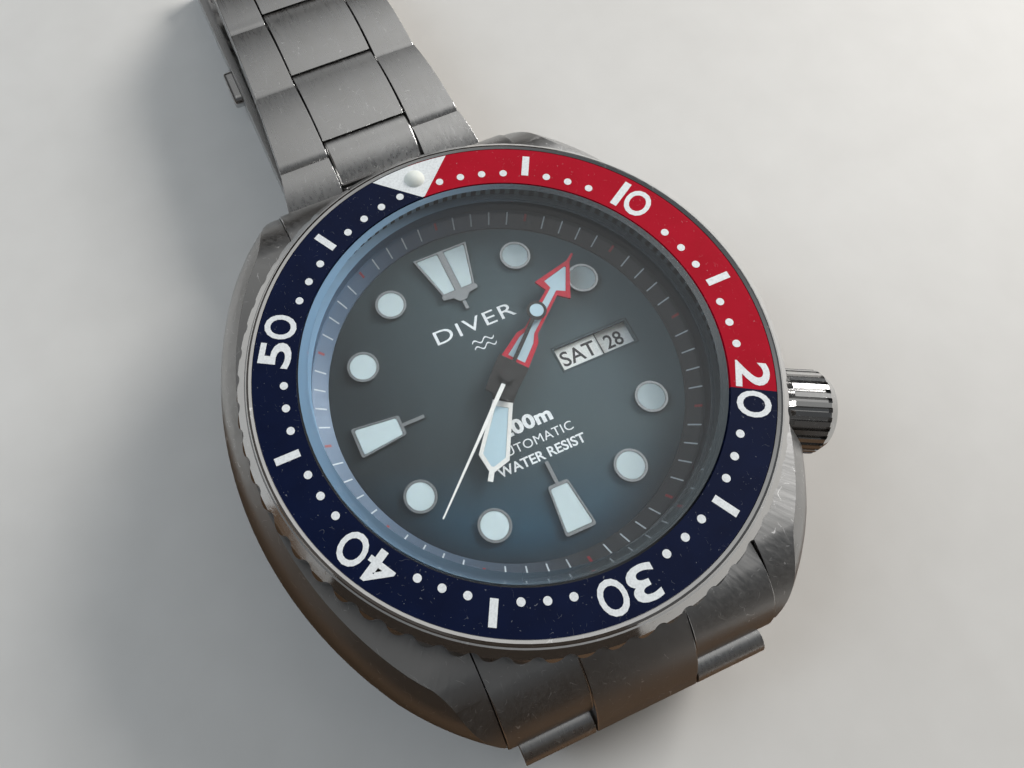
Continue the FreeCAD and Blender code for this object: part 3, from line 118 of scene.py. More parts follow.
# Hour markers, hands and the discs behind the window.
MARKER_TOP = corner("hour_markers", 1).z
MARKER_CIRCLE = 11.25
MARKER_WELL_R = 1.07
ROUND_MARKER_HOURS = (1, 2, 4, 5, 7, 8, 10, 11)
DART_WELL = [(1.06, 12.35), (-1.06, 12.35), (-0.7, 9.0), (0.7, 9.0)]
TWIN_WELL = [(2.16, 12.43), (0.29, 12.43), (0.29, 8.85), (1.27, 8.85)]
HOUR_WELL = [(0.49, 2.32), (0.84, 6.19), (0.1, 7.03)]
MINUTE_WELL = [(0.71, 1.67), (0.59, 3.45), (0.29, 4.26), (0.25, 8.46), (0.93, 8.76), (0.06, 10.72)]
SECOND_DISC_AT = 5.93
SECOND_DISC_R = 0.55
SECOND_DISC_DROP = 0.14
DATE_TOP = corner("date_disc", 1).z
DAY_TOP = corner("day_disc", 1).z
DAY_CIRCLE = 6.6
DATE_CIRCLE = 9.85
DISC_RAISE = 0.03
WINDOW_X = (4.75, 11.15)
WINDOW_Y = (-0.93, 1.0)
WINDOW_SLOPE = 0.16
DIVIDER_X = (8.42, 8.49)

# Steel: the links, and the angles in degrees over which an edge is sharp and under which it is flat.
LINKS_TOP = ["top_link_%d" % number for number in range(1, 6)]
LINKS_UNDER = ["under_link_%d" % number for number in range(1, 7)]
SHARP_EDGE = 28
FLAT_EDGE = 0.6

# Points closer than this, in metres, are one.
SAME_POINT_STEEL = 2e-7
SAME_POINT_TEXT = 1e-7

# The stage, in metres.
FLOOR_Z = cad_box[0][2]
FLOOR_HALF = 3.0
FADE_START = 140.0 * MM
FADE_END = 330.0 * MM
WINDOW_LIGHT_AT = (0.42, 0.12, 0.26)
WINDOW_LIGHT_AIM = (0, 0.01, 0)
WINDOW_LIGHT_SIZE = (0.26, 0.20)
WINDOW_LIGHT_WATTS = 2.5
WINDOW_LIGHT_COLOUR = (1.0, 0.98, 0.95)
SKY_LIGHT_AT = (-0.26, 0.16, 0.28)
SKY_LIGHT_SIZE = (0.24, 0.24)
SKY_LIGHT_WATTS = 0.8
SKY_LIGHT_COLOUR = (0.78, 0.89, 1.0)
# Dark cards that paint shade into reflections: their feet on the floor and their height.
CARD_6_FROM, CARD_6_TO, CARD_6_HIGH = (-0.20, -0.07), (0.02, -0.10), 0.09
CARD_12_FROM, CARD_12_TO, CARD_12_HIGH = (0.12, 0.15), (-0.14, 0.16), 0.06
# The brown sheet that paints a table's reflection and shade into the flanks: its extent and its lift off
# the floor.
TABLE_X = (-0.25, 0.03)
TABLE_Y = (-0.25, 0.015)
TABLE_RAISE = 0.0002

# The room's light: the way to its bright patch, and its colours.
BRIGHT_SIDE = (0.55, 0.35, 0.76)
DARK_ROOM = (0.14, 0.13, 0.12, 1)
MID_ROOM = (0.15, 0.16, 0.17, 1)
BRIGHT_ROOM = (1.0, 1.0, 0.98, 1)
BACKDROP = (1.0, 0.98, 0.95, 1)
ROOM_STRENGTH = 0.62

# The camera: its place in millimetres, its axes, and its lens as a share of the picture's width.
CAMERA_AT = Vector((-14.129, -15.211, 62.413))
CAMERA_RIGHT = Vector((0.91816, -0.39574, -0.01923))
CAMERA_UP = Vector((0.37813, 0.86076, 0.34075))
FOCAL_SHARE = 721.84 / 1024
SENSOR = 36.0
SHIFT_ACROSS = 0.10585
SHIFT_UP = 0.00183


# ---- shader helpers ----------------------------------------------------------------------
class Graph:
    """A material's node tree, written as calls that take numbers or other nodes' outputs."""

    def __init__(self, name):
        self.material = bpy.data.materials.new(name)
        self.material.use_nodes = True
        self.tree = self.material.node_tree
        self.tree.nodes.clear()
        self.end = self.tree.nodes.new("ShaderNodeOutputMaterial")

    def put(self, socket, value):
        if isinstance(value, bpy.types.NodeSocket):
            self.tree.links.new(value, socket)
        else:
            socket.default_value = value

    def node(self, kind, inputs=None, **settings):
        made = self.tree.nodes.new("ShaderNode" + kind)
        for key, value in settings.items():
            setattr(made, key, value)
        for key, value in (inputs or {}).items():
            self.put(made.inputs[key], value)
        return made

    def math(self, operation, a, b=0.0, c=0.0):
        made = self.node("Math", operation=operation)
        for socket, value in zip(made.inputs, (a, b, c)):
            self.put(socket, value)
        return made.outputs[0]

    def place(self):
        """Position in the object's own millimetres."""
        coords = self.node("TexCoord").outputs["Object"]
        scaled = self.node("VectorMath", {0: coords, 1: (1 / MM,) * 3}, operation="MULTIPLY")
        return scaled.outputs[0]

    def parts(self, vector):
        return self.node("SeparateXYZ", {0: vector}).outputs

    def from_axis(self, vector):
        """Distance from the axis of the hands."""
        x, y, z = self.parts(vector)
        squares = self.math("ADD", self.math("MULTIPLY", x, x), self.math("MULTIPLY", y, y))
        return self.math("SQRT", squares)

    def clock_angle(self, vector):
        """Angle from 12 in radians, growing clockwise."""
        x, y, z = self.parts(vector)
        return self.math("ARCTAN2", x, y)

    def stretched(self, vector, scale, turn=0.0):
        made = self.node("Mapping", {"Vector": vector, "Scale": scale, "Rotation": (0, 0, turn)})
        return made.outputs[0]

    def noise(self, vector, scale, detail=2.0, rough=0.5):
        inputs = {"Vector": vector, "Scale": scale, "Detail": detail, "Roughness": rough}
        return self.node("TexNoise", inputs).outputs["Fac"]

    def range(self, value, low, high, to_low=0.0, to_high=1.0):
        made = self.node("MapRange", {0: value, 1: low, 2: high, 3: to_low, 4: to_high})
        return made.outputs[0]

    def mix(self, share, first, second):
        made = self.node("Mix", data_type="RGBA")
        self.put(made.inputs[0], share)
        self.put(made.inputs[6], first)
        self.put(made.inputs[7], second)
        return made.outputs[2]

    def bump(self, height, strength, distance):
        inputs = {"Height": height, "Strength": strength, "Distance": distance * MM}
        return self.node("Bump", inputs).outputs[0]

    def scratches(self, vector, scale, width, amount):
        """Thin wandering lines, broken up by a coarse mask."""
        lines = self.noise(vector, scale, 1.0, 0.4)
        nearness = self.math("ABSOLUTE", self.math("SUBTRACT", lines, 0.5))
        line = self.range(nearness, 0.0, width, 1.0, 0.0)
        mask = self.range(self.noise(vector, scale * 2.3, 2.0), 0.62 - amount, 0.66 - amount)
        return self.math("MULTIPLY", line, mask)

    def finish(self, **inputs):
        named = {key.replace("_", " "): value for key, value in inputs.items()}
        shader = self.node("BsdfPrincipled", named)
        self.tree.links.new(shader.outputs[0], self.end.inputs["Surface"])
        return self.material


def rgb(red, green, blue):
    return (red, green, blue, 1.0)


def dimmed(colour, share):
    return rgb(*(channel * share for channel in colour[:3]))


# ---- materials ---------------------------------------------------------------------------
def steel(name, tone, rough, grain, turn=0.0, depth=0.004, radial=False):
    """Stainless steel. grain is the brushing's fineness across and along, in cycles per mm.

    Radial brushing runs outwards from the axis of the hands.
    """
    g = Graph(name)
    at = g.place()
    brushed_at = at
    if radial:
        arc = g.math("MULTIPLY", g.clock_angle(at), 21.0)
        high = g.parts(at)[2]
        brushed_at = g.node("CombineXYZ", {0: arc, 1: g.from_axis(at), 2: high}).outputs[0]
    across, along = grain
    lines = g.noise(g.stretched(brushed_at, (across, along, across), turn), 1.0, 3.0, 0.6)
    cloud = g.noise(at, 0.35, 3.0)
    marks = g.scratches(at, 0.55, 0.006, 0.05)
    hair = g.scratches(g.stretched(at, (1.0, 0.4, 1.0), 0.7), 1.1, 0.005, 0.06)
    wear = g.math("MAXIMUM", marks, hair)
    shade = g.math("MULTIPLY", g.math("ADD", g.math("MULTIPLY", lines, 0.35), cloud), 0.74)
    dark = rgb(tone * 0.82, tone * 0.81, tone * 0.79)
    light = rgb(tone, tone, tone * 1.01)
    base = g.mix(wear, g.mix(shade, dark, light), rgb(0.9, 0.9, 0.9))
    roughness = g.math("ADD", g.range(lines, 0.3, 0.7, rough * 0.8, rough * 1.2),
                       g.math("MULTIPLY", wear, 0.12))
    height = g.math("SUBTRACT", lines, g.math("MULTIPLY", wear, 1.5))
    return g.finish(Base_Color=base, Metallic=1.0, Roughness=roughness,
                    Normal=g.bump(height, 0.5, depth))


def insert_print():
    """Anodised ring: red over the first minutes, navy over the rest, lightly scratched."""
    g = Graph("insert_print_look")
    at = g.place()
    turn = g.clock_angle(at)
    end = 2 * math.pi * RED_MINUTES / 60
    red_share = g.math("MULTIPLY", g.math("GREATER_THAN", turn, 0.0),
                       g.math("LESS_THAN", turn, end))
    red = g.mix(g.noise(at, 0.5), rgb(0.36, 0.001, 0.012), rgb(0.46, 0.002, 0.020))
    navy = g.mix(g.noise(at, 0.5), rgb(0.0015, 0.004, 0.020), rgb(0.003, 0.008, 0.036))
    wear = g.math("MAXIMUM", g.scratches(at, 0.9, 0.004, 0.02),
                  g.scratches(g.stretched(at, (1, 0.5, 1), 1.1), 1.7, 0.003, 0.0))
    pits = g.range(g.noise(at, 5.0, 1.0), 0.76, 0.79)
    marked = g.math("MULTIPLY", g.math("MAXIMUM", wear, pits), 0.3)
    base = g.mix(marked, g.mix(red_share, navy, red), rgb(0.45, 0.47, 0.5))
    fine = g.noise(at, 9.0, 2.0)
    return g.finish(Base_Color=base, Roughness=g.range(fine, 0.3, 0.7, 0.12, 0.18),
                    Specular_IOR_Level=0.2,
                    Normal=g.bump(g.math("SUBTRACT", fine, wear), 0.2, 0.003))


def print_paint(name, colour, rough=0.45):
    """Slightly uneven screen print or lacquer."""
    g = Graph(name)
    at = g.place()
    grain = g.noise(at, 7.0, 3.0)
    base = g.mix(g.range(grain, 0.35, 0.6), dimmed(colour, 0.86), colour)
    return g.finish(Base_Color=base, Roughness=g.range(grain, 0.3, 0.7, rough * 0.8, rough * 1.15),
                    Normal=g.bump(grain, 0.4, 0.006))


def lume_paint(name, colour):
    """Thick granular luminous paint."""
    g = Graph(name)
    at = g.place()
    grain = g.noise(at, 11.0, 4.0, 0.65)
    cloud = g.noise(at, 1.2, 2.0)
    uneven = g.math("MULTIPLY", g.math("ADD", grain, cloud), 0.5)
    base = g.mix(uneven, dimmed(colour, 0.9), colour)
    return g.finish(Base_Color=base, Roughness=0.55, Subsurface_Weight=0.15,
                    Subsurface_Radius=(0.0004, 0.0004, 0.0003),
                    Normal=g.bump(grain, 0.5, 0.02))


def dial_paint():
    """Lacquer over a sunray-brushed plate, bluer towards 6, where its own dark blue shows; elsewhere a
    painted reflection makes it slate, a painted highlight makes it teal towards 3 o'clock, and a painted
    shadow of the flange darkens its rim on the 6 side.
    """
    g = Graph("dial_look")
    at = g.place()
    x, y, z = g.parts(at)
    angle = g.clock_angle(at)
    rays_at = g.node("CombineXYZ", {0: g.math("SINE", angle), 1: g.math("COSINE", angle),
                                    2: 0.0}).outputs[0]
    rays = g.noise(rays_at, 60.0, 2.0)
    dust = g.range(g.noise(at, 6.5, 1.0), 0.77, 0.8)
    # Slate and teal are shaded and lit copies of one colour: a painted reflection over the dial, with
    # lighter teal towards 3 o'clock as a painted highlight.
    slate = g.mix(rays, rgb(0.015, 0.023, 0.026), rgb(0.019, 0.028, 0.032))
    painted_highlight_teal = g.mix(rays, rgb(0.055, 0.088, 0.098), rgb(0.065, 0.100, 0.112))
    # Towards 6 the painted reflection gives way to the dial's own dark blue.
    blue = rgb(0.008, 0.050, 0.085)
    side = g.range(g.math("ADD", x, g.math("MULTIPLY", y, 0.15)), -10.0, 8.0)
    toward_six = g.math("SUBTRACT", g.math("MULTIPLY", x, -0.25), y)
    low = g.range(toward_six, 5.5, 13.0)
    base = g.mix(low, g.mix(side, slate, painted_highlight_teal), blue)
    # Painted shadow of the flange: this darkens the rim of the dial on the 6 side.
    edge = g.math("MULTIPLY", g.range(g.from_axis(at), 11.3, 14.0),
                  g.range(toward_six, 3.0, 9.0))
    base = g.mix(g.math("MULTIPLY", edge, 0.85), base, rgb(0.002, 0.006, 0.010))
    base = g.mix(g.math("MULTIPLY", dust, 0.35), base, rgb(0.4, 0.42, 0.42))
    return g.finish(Base_Color=base, Roughness=g.range(rays, 0.3, 0.7, 0.40, 0.46),
                    Specular_IOR_Level=0.25, Normal=g.bump(rays, 0.03, 0.002))


def painted_sky_side(g, at):
    """Grows from 0 on the 4 o'clock side to 1 on the 10 o'clock side, where the painted sky reflection
    goes.
    """
    x, y, z = g.parts(at)
    across = g.math("SUBTRACT", g.math("MULTIPLY", y, 0.35), x)
    return g.range(across, -4.0, 15.0)


def ring_paint():
    """Satin flange, with a painted reflection of the sky that turns it blue on the 10 o'clock side."""
    g = Graph("ring_look")
    at = g.place()
    grain = g.noise(at, 5.0, 2.0)
    dark = g.mix(grain, rgb(0.020, 0.023, 0.026), rgb(0.026, 0.029, 0.033))
    # The blue mixed in here is a painted reflection of the sky on the flange.
    base = g.mix(painted_sky_side(g, at), dark, rgb(0.070, 0.115, 0.180))
    return g.finish(Base_Color=base, Metallic=0.1, Roughness=g.range(grain, 0.3, 0.7, 0.32, 0.38))


def glass():
    """Mineral glass with a ground bevel, which carries a painted reflection of the sky. Shadow rays pass
    through, so that the dial is lit.
    """
    g = Graph("crystal_look")
    at = g.place()
    smears = g.range(g.noise(at, 0.25, 4.0), 0.4, 0.75, 0.0, 0.03)
    shader = g.node("BsdfPrincipled", {"Base Color": rgb(0.965, 0.985, 1.0), "IOR": 1.52,
                                       "Roughness": smears, "Transmission Weight": 1.0})
    bevel = g.math("GREATER_THAN", g.from_axis(at), CRYSTAL_R - CRYSTAL_BEVEL)
    # The bevel's colour is a painted reflection of the sky: dark grey, turning light blue towards 10
    # o'clock.
    painted_sky_tint = g.mix(painted_sky_side(g, at), rgb(0.10, 0.12, 0.13), rgb(0.28, 0.44, 0.60))
    ground = g.node("BsdfPrincipled", {"Base Color": painted_sky_tint, "Roughness": 0.3})
    ground_share = g.math("MULTIPLY", bevel, g.range(painted_sky_side(g, at), 0.0, 1.0, 0.5, 0.8))
    body = g.node("MixShader", {0: ground_share, 1: shader.outputs[0], 2: ground.outputs[0]})
    clear = g.node("BsdfTransparent", {"Color": rgb(0.93, 0.95, 0.96)})
    shadow = g.node("LightPath").outputs["Is Shadow Ray"]
    both = g.node("MixShader", {0: shadow, 1: body.outputs[0], 2: clear.outputs[0]})
    g.tree.links.new(both.outputs[0], g.end.inputs["Surface"])
    return g.material


def hand_paint(name, clockwise_deg, near_colour, far_colour, change, metal_near, metal_far):
    """One colour on the hand's base and another beyond a distance from the axis."""
    g = Graph(name)
    at = g.place()
    angle = math.radians(clockwise_deg)
    along = g.node("VectorMath", {0: at, 1: (math.sin(angle), math.cos(angle), 0)},
                   operation="DOT_PRODUCT").outputs["Value"]
    beyond = g.math("GREATER_THAN", along, change)
    grain = g.noise(at, 6.0, 2.0)
    colour = g.mix(beyond, near_colour, far_colour)
    base = g.mix(g.math("MULTIPLY", grain, 0.2), colour, rgb(0.02, 0.02, 0.02))
    metal = g.math("ADD", g.math("MULTIPLY", beyond, metal_far - metal_near), metal_near)
    return g.finish(Base_Color=base, Metallic=metal, Roughness=g.range(grain, 0.3, 0.7, 0.16, 0.26),
                    Coat_Weight=0.3, Normal=g.bump(grain, 0.15, 0.005))


def metal(name, colour, rough, grain=2.5):
    """Plated or plain metal of the movement, with fine turning marks."""
    g = Graph(name)
    at = g.place()
    lines = g.noise(g.stretched(at, (grain, grain * 0.12, grain)), 1.0, 3.0)
    cloud = g.noise(at, 0.6, 2.0)
    uneven = g.math("MULTIPLY", g.math("ADD", lines, cloud), 0.5)
    base = g.mix(uneven, dimmed(colour, 0.8), colour)
    return g.finish(Base_Color=base, Metallic=1.0,
                    Roughness=g.range(lines, 0.3, 0.7, rough * 0.85, rough * 1.2),
                    Normal=g.bump(lines, 0.3, 0.006))


def plastic(name, colour, rough, through=0.0):
    """Rubber, moulded plastic or, with light let through, ruby."""
    g = Graph(name)
    at = g.place()
    grain = g.noise(at, 9.0, 3.0)
    return g.finish(Base_Color=g.mix(grain, dimmed(colour, 0.88), colour),
                    Transmission_Weight=through,
                    Roughness=g.range(grain, 0.3, 0.7, rough * 0.85, rough * 1.15),
                    Normal=g.bump(grain, 0.3, 0.01))


SATIN = steel("link_satin", 0.66, 0.30, (5.0, 0.25), depth=0.002)
CASE_SATIN = steel("case_satin", 0.50, 0.36, (5.0, 0.25), depth=0.003, radial=True)
POLISHED = steel("rim_polished", 0.74, 0.09, (3.0, 0.3), depth=0.001)
CROWN_STEEL = steel("crown_steel", 0.60, 0.12, (4.0, 0.4), depth=0.001)
SPRUNG = steel("blade_steel", 0.62, 0.22, (4.0, 0.3), depth=0.002)
WHITE_PRINT = print_paint("white_print", rgb(0.80, 0.82, 0.82))
DIM_PRINT = print_paint("grey_print", rgb(0.42, 0.46, 0.48))
RED_PRINT = print_paint("red_print", rgb(0.22, 0.012, 0.02))
BLACK_PRINT = print_paint("black_print", rgb(0.012, 0.012, 0.014))
DISC_WHITE = print_paint("disc_white_look", rgb(0.90, 0.90, 0.86), 0.5)
LUME = lume_paint("lume_look", rgb(0.52, 0.61, 0.62))
HAND_LUME = lume_paint("hand_lume", rgb(0.42, 0.56, 0.62))
# Dark card colour: painted shade, seen only in reflections of the steel.
PAINTED_SHADE_CARD = Graph("painted_shade_card_look").finish(Base_Color=rgb(0.035, 0.025, 0.018), Roughness=0.9)
# Brown sheet colour: a painted table reflection and painted shade, seen only in reflections.
TABLE_REFLECTION_LOOK = Graph("painted_table_reflection_look").finish(Base_Color=rgb(0.13, 0.075, 0.04), Roughness=0.9)
FRAME_STEEL = metal("marker_frame", rgb(0.52, 0.55, 0.57), 0.18, 4.0)

NODE_LOOKS = {
    "satin": (SATIN, ["clasp_cover", "clasp_safety_lock", "case_back"] + LINKS_TOP + LINKS_UNDER),
    "case": (CASE_SATIN, ["case_middle", "end_link_top", "end_link_under"]),
    "polished": (POLISHED, ["bezel_ring", "lug_spring_bars", "crown_tube", "bezel_click_spring"]),
    "crown": (CROWN_STEEL, ["crown", "stem", "clasp_button_left", "clasp_button_right"]),
    "blades": (SPRUNG, ["clasp_outer_blade", "clasp_inner_blade"]),
    "frames": (FRAME_STEEL, ["hour_markers"]),
    "insert": (insert_print(), ["bezel_insert"]),
    "pearl": (lume_paint("pearl_lume", rgb(0.80, 0.82, 0.76)), ["bezel_pearl"]),
    "glass": (glass(), ["crystal"]),
    "ring": (ring_paint(), ["chapter_ring"]),
    "dial": (dial_paint(), ["dial"]),
    "discs": (DISC_WHITE, ["date_disc", "day_disc"]),
    "rubber": (plastic("rubber_look", rgb(0.012, 0.012, 0.013), 0.6), ["sealing_rings"]),
    "holder": (plastic("holder_look", rgb(0.72, 0.70, 0.62), 0.45), ["movement_ring"]),
    "nickel": (metal("nickel_look", rgb(0.68, 0.66, 0.60), 0.28),
               ["main_plate", "train_bridge", "balance_cock"]),
    "gilt": (metal("gilt_look", rgb(0.75, 0.55, 0.22), 0.25),
             ["barrel", "centre_wheel", "third_wheel", "fourth_wheel", "minute_wheel",
              "hour_wheel", "balance_wheel"]),
    "bright": (metal("bright_look", rgb(0.60, 0.61, 0.64), 0.14),
               ["movement_screws", "barrel_arbor", "escape_wheel", "pallet_fork",
                "cannon_pinion", "sliding_pinion", "mainspring"]),
    "blued": (metal("blued_look", rgb(0.03, 0.08, 0.30), 0.2), ["hairspring"]),
    "ruby": (plastic("ruby_look", rgb(0.55, 0.01, 0.08), 0.1, 0.4), ["jewels"]),
    "rotor": (metal("rotor_look", rgb(0.42, 0.42, 0.43), 0.32), ["rotor_weight"]),
    "minute": (hand_paint("minute_look", MINUTE_CLOCKWISE, rgb(0.012, 0.012, 0.012),
                          rgb(0.55, 0.01, 0.035), 1.4, 0.0, 0.25), ["minute_hand"]),
    "hour": (hand_paint("hour_look", HOUR_CLOCKWISE, rgb(0.012, 0.012, 0.012),
                        rgb(0.86, 0.84, 0.79), 1.85, 0.0, 0.1), ["hour_hand"]),
    "seconds": (hand_paint("seconds_look", SECOND_CLOCKWISE, rgb(0.014, 0.014, 0.014),
                           rgb(0.88, 0.86, 0.81), 0.85, 0.0, 0.0), ["seconds_hand"]),
}


def dress_nodes():
    for look, names in NODE_LOOKS.values():
        for name in names:
            mesh = frame["nodes"][name].data
            mesh.materials.clear()
            mesh.materials.append(look)


# ---- mesh helpers ------------------------------------------------------------------------
def clock_point(radius, degrees, z=0.0):
    """Clockwise from 12, seen from the dial side."""
    angle = math.radians(degrees)
    return Vector((radius * math.sin(angle), radius * math.cos(angle), z))


def add_piece(name, mesh, look, body):
    """Shows a mesh as a piece that rides on a body and takes its finish from a material slot."""
    mesh.materials.clear()
    mesh.materials.append(look)
    piece = bpy.data.objects.new(name, mesh)
    bpy.context.scene.collection.objects.link(piece)
    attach(piece, body)
    return piece


def mesh_from(name, build):
    """Ends a bmesh as a mesh."""
    mesh = bpy.data.meshes.new(name)
    build.to_mesh(mesh)
    build.free()
    return mesh


def slab_mesh(name, polygons):
    """Flat prisms. Each polygon is (points counter-clockwise in mm, low z, high z)."""
    build = bmesh.new()
    for points, low, high in polygons:
        lower = [build.verts.new((x * MM, y * MM, low * MM)) for x, y in points]
        upper = [build.verts.new((x * MM, y * MM, high * MM)) for x, y in points]
        build.faces.new(upper)
        build.faces.new(list(reversed(lower)))
        for index in range(len(points)):
            after = (index + 1) % len(points)
            build.faces.new((lower[index], lower[after], upper[after], upper[index]))
    bmesh.ops.recalc_face_normals(build, faces=build.faces)
    return mesh_from(name, build)


def disc_points(radius, centre, count=28):
    """A circle as a polygon, counter-clockwise."""
    step = 2 * math.pi / count
    return [(centre.x + radius * math.cos(step * index), centre.y + radius * math.sin(step * index))
            for index in range(count)]


def turned_points(points, degrees_clockwise):
    """Points drawn towards 12, turned clockwise."""
    angle = math.radians(degrees_clockwise)
    cos, sin = math.cos(angle), math.sin(angle)
    return [(x * cos + y * sin, y * cos - x * sin) for x, y in points]


def mirrored(points):
    """A half outline drawn on the right, closed by its mirror image; a point on the axis stays single."""
    right = list(points)
    left = [(-x, y) for x, y in reversed(points) if x > 0.001]
    return right + left


def rounded(points, radius, steps=4):
    """Rounds a polygon's corners with short arcs."""
    result = []
    count = len(points)
    for index in range(count):
        before = Vector(points[index - 1])
        here = Vector(points[index])
        after = Vector(points[(index + 1) % count])
        reach = min(radius, (before - here).length * 0.45, (after - here).length * 0.45)
        start = here + (before - here).normalized() * reach
        end = here + (after - here).normalized() * reach
        for step in range(steps + 1):
            share = step / steps
            blend = start.lerp(here, share).lerp(here.lerp(end, share), share)
            result.append((blend.x, blend.y))
    return result


def text_mesh(name, words, high, place, thick=PRINT, bold=0.0, wide=1.0, spacing=1.0, across=0.0):
    """Text of cap height high as a mesh, centred, then moved by place, in mm.

    Its width follows from the font and wide, unless across gives it.
    """
    curve = bpy.data.curves.new(name, "FONT")
    curve.body = words
    curve.align_x = "CENTER"
    curve.align_y = "CENTER"
    curve.size = 1.0
    curve.offset = bold
    curve.space_character = spacing
    curve.resolution_u = 4
    holder = bpy.data.objects.new(name, curve)
    bpy.context.scene.collection.objects.link(holder)
    bpy.context.view_layer.update()
    flat = bpy.data.meshes.new_from_object(holder.evaluated_get(
        bpy.context.evaluated_depsgraph_get()))
    bpy.data.objects.remove(holder)
    bpy.data.curves.remove(curve)
    lows = [min(v.co[axis] for v in flat.vertices) for axis in (0, 1)]
    highs = [max(v.co[axis] for v in flat.vertices) for axis in (0, 1)]
    middle = Vector(((lows[0] + highs[0]) / 2, (lows[1] + highs[1]) / 2, 0))
    scale = high / (highs[1] - lows[1])
    stretch = across / (highs[0] - lows[0]) if across else scale * wide
    shape = Matrix.Diagonal((stretch * MM, scale * MM, MM, 1))
    moved = Matrix.Translation(place.to_translation() * MM) @ place.to_3x3().to_4x4()
    flat.transform(moved @ shape @ Matrix.Translation(-middle))
    build = bmesh.new()
    build.from_mesh(flat)
    bpy.data.meshes.remove(flat)
    bmesh.ops.remove_doubles(build, verts=build.verts, dist=SAME_POINT_TEXT)
    up = (place.to_3x3() @ Vector((0, 0, 1))) * thick * MM
    for face in build.faces:
        if face.normal.dot(up) < 0:
            face.normal_flip()
    bottom = list(build.faces)
    lifted = bmesh.ops.extrude_face_region(build, geom=bottom)
    verts = [item for item in lifted["geom"] if isinstance(item, bmesh.types.BMVert)]
    bmesh.ops.translate(build, verts=verts, vec=up)
    bmesh.ops.recalc_face_normals(build, faces=build.faces)
    for face in build.faces:
        face.smooth = False
    return mesh_from(name, build)


def joined(name, meshes):
    """Several meshes as one, the parts used up."""
    build = bmesh.new()
    for mesh in meshes:
        build.from_mesh(mesh)
        bpy.data.meshes.remove(mesh)
    return mesh_from(name, build)


def upright(radius, degrees, z):
    """A place on the dial side at a clock angle, its text's top facing outwards."""
    turn = Matrix.Rotation(math.radians(-degrees), 4, "Z")
    return Matrix.Translation(clock_point(radius, degrees, z)) @ turn


def level(x, y, z):
    """A place with its text's top facing 12."""
    return Matrix.Translation(Vector((x, y, z)))


# ---- bezel print -------------------------------------------------------------------------
def bar_points():
    """The bar at an odd five minutes, drawn at 12."""
    half = BAR_WIDE / 2
    low, high = BAR_MIDDLE - BAR_LONG / 2, BAR_MIDDLE + BAR_LONG / 2
    return [(half, low), (half, high), (-half, high), (-half, low)]


def triangle_points():
    """The triangle at 12, its base along the insert's outer edge."""
    inner = INSERT_INNER + 0.05
    outer = INSERT_OUTER - 0.03
    sweep = math.degrees(math.asin(TRIANGLE_HALF / outer))
    base = [clock_point(outer, sweep * (1 - 2 * index / 12)) for index in range(13)]
    left_tip, right_tip = (-TRIANGLE_TIP_HALF, inner), (TRIANGLE_TIP_HALF, inner)
    return [right_tip] + [(point.x, point.y) for point in base] + [left_tip]


def insert_marks():
    """Dots at the minutes, bars at the odd fives and the triangle; the tens leave room for figures."""
    outlines = []
    for minute in range(60):
        ten_near = minute % 10 in (0, 1, 9)
        if minute % 10 == 5:
            outlines.append(turned_points(bar_points(), 6 * minute))
        elif not ten_near or minute in (1, 59):
            outlines.append(disc_points(DOT_R, clock_point(DOT_CIRCLE, 6 * minute)))
    outlines.append(triangle_points())
    low, high = INSERT_TOP - PRINT_ROOT, INSERT_TOP + PRINT
    mesh = slab_mesh("insert_marks", [(points, low, high) for points in outlines])
    add_piece("insert_marks", mesh, WHITE_PRINT, "bezel")


def insert_figures():
    """10 to 50, each made of two figures of set widths."""
    figures = []
    for ten, first in enumerate("I2345", start=1):
        place = upright(NUMERAL_MIDDLE, 60 * ten, INSERT_TOP - WORD_ROOT)
        first_wide = BAR_WIDE if first == "I" else FIGURE_WIDE
        half = (first_wide + FIGURE_GAP + ZERO_WIDE) / 2
        for figure, width, middle in ((first, first_wide, first_wide / 2 - half),
                                      ("O", ZERO_WIDE, half - ZERO_WIDE / 2)):
            figures.append(text_mesh("figure", figure, NUMERAL_HIGH, place @ level(middle, 0, 0),
                                     PRINT + WORD_ROOT, FIGURE_BOLD, across=width))
    add_piece("insert_figures", joined("insert_figures", figures), WHITE_PRINT, "bezel")


# ---- dial side ---------------------------------------------------------------------------
def tick_corners(tick, angle):
    """The eight corners of one tick on the slope: inner end first, then low, then left."""
    start, end, half = tick
    foot = Vector((RING_INNER, RING_FOOT))
    slope = Vector((RING_OUTER - RING_WALL - RING_INNER, RING_SHOULDER - RING_FOOT))
    normal = Vector((-slope.y, slope.x)).normalized()
    across = clock_point(half, angle + 90)
    corners = []
    for share in (start, end):
        for lift in (-PRINT_ROOT, PRINT):
            point = foot + slope * share + normal * lift
            middle = clock_point(point.x, angle, point.y)
            corners += [middle - across, middle + across]
    return corners


def ring_ticks(name, look, tick, minutes):
    """Minute ticks on the sloped flange."""
    sides = ((0, 1, 3, 2), (4, 6, 7, 5), (2, 3, 7, 6), (0, 4, 5, 1), (0, 2, 6, 4), (1, 5, 7, 3))
    build = bmesh.new()
    for minute in minutes:
        angle = 6.0 * minute + RING_TURN
        made = [build.verts.new(point * MM) for point in tick_corners(tick, angle)]
        for side in sides:
            build.faces.new([made[index] for index in side])
    bmesh.ops.recalc_face_normals(build, faces=build.faces)
    add_piece(name, mesh_from(name, build), look, "case")


def minute_ring():
    """White ticks, and short red ones at every fifth minute."""
    fives = range(0, 60, 5)
    others = [minute for minute in range(60) if minute not in fives]
    ring_ticks("ring_ticks_white", DIM_PRINT, WHITE_TICK, others)
    ring_ticks("ring_ticks_red", RED_PRINT, RED_TICK, fives)


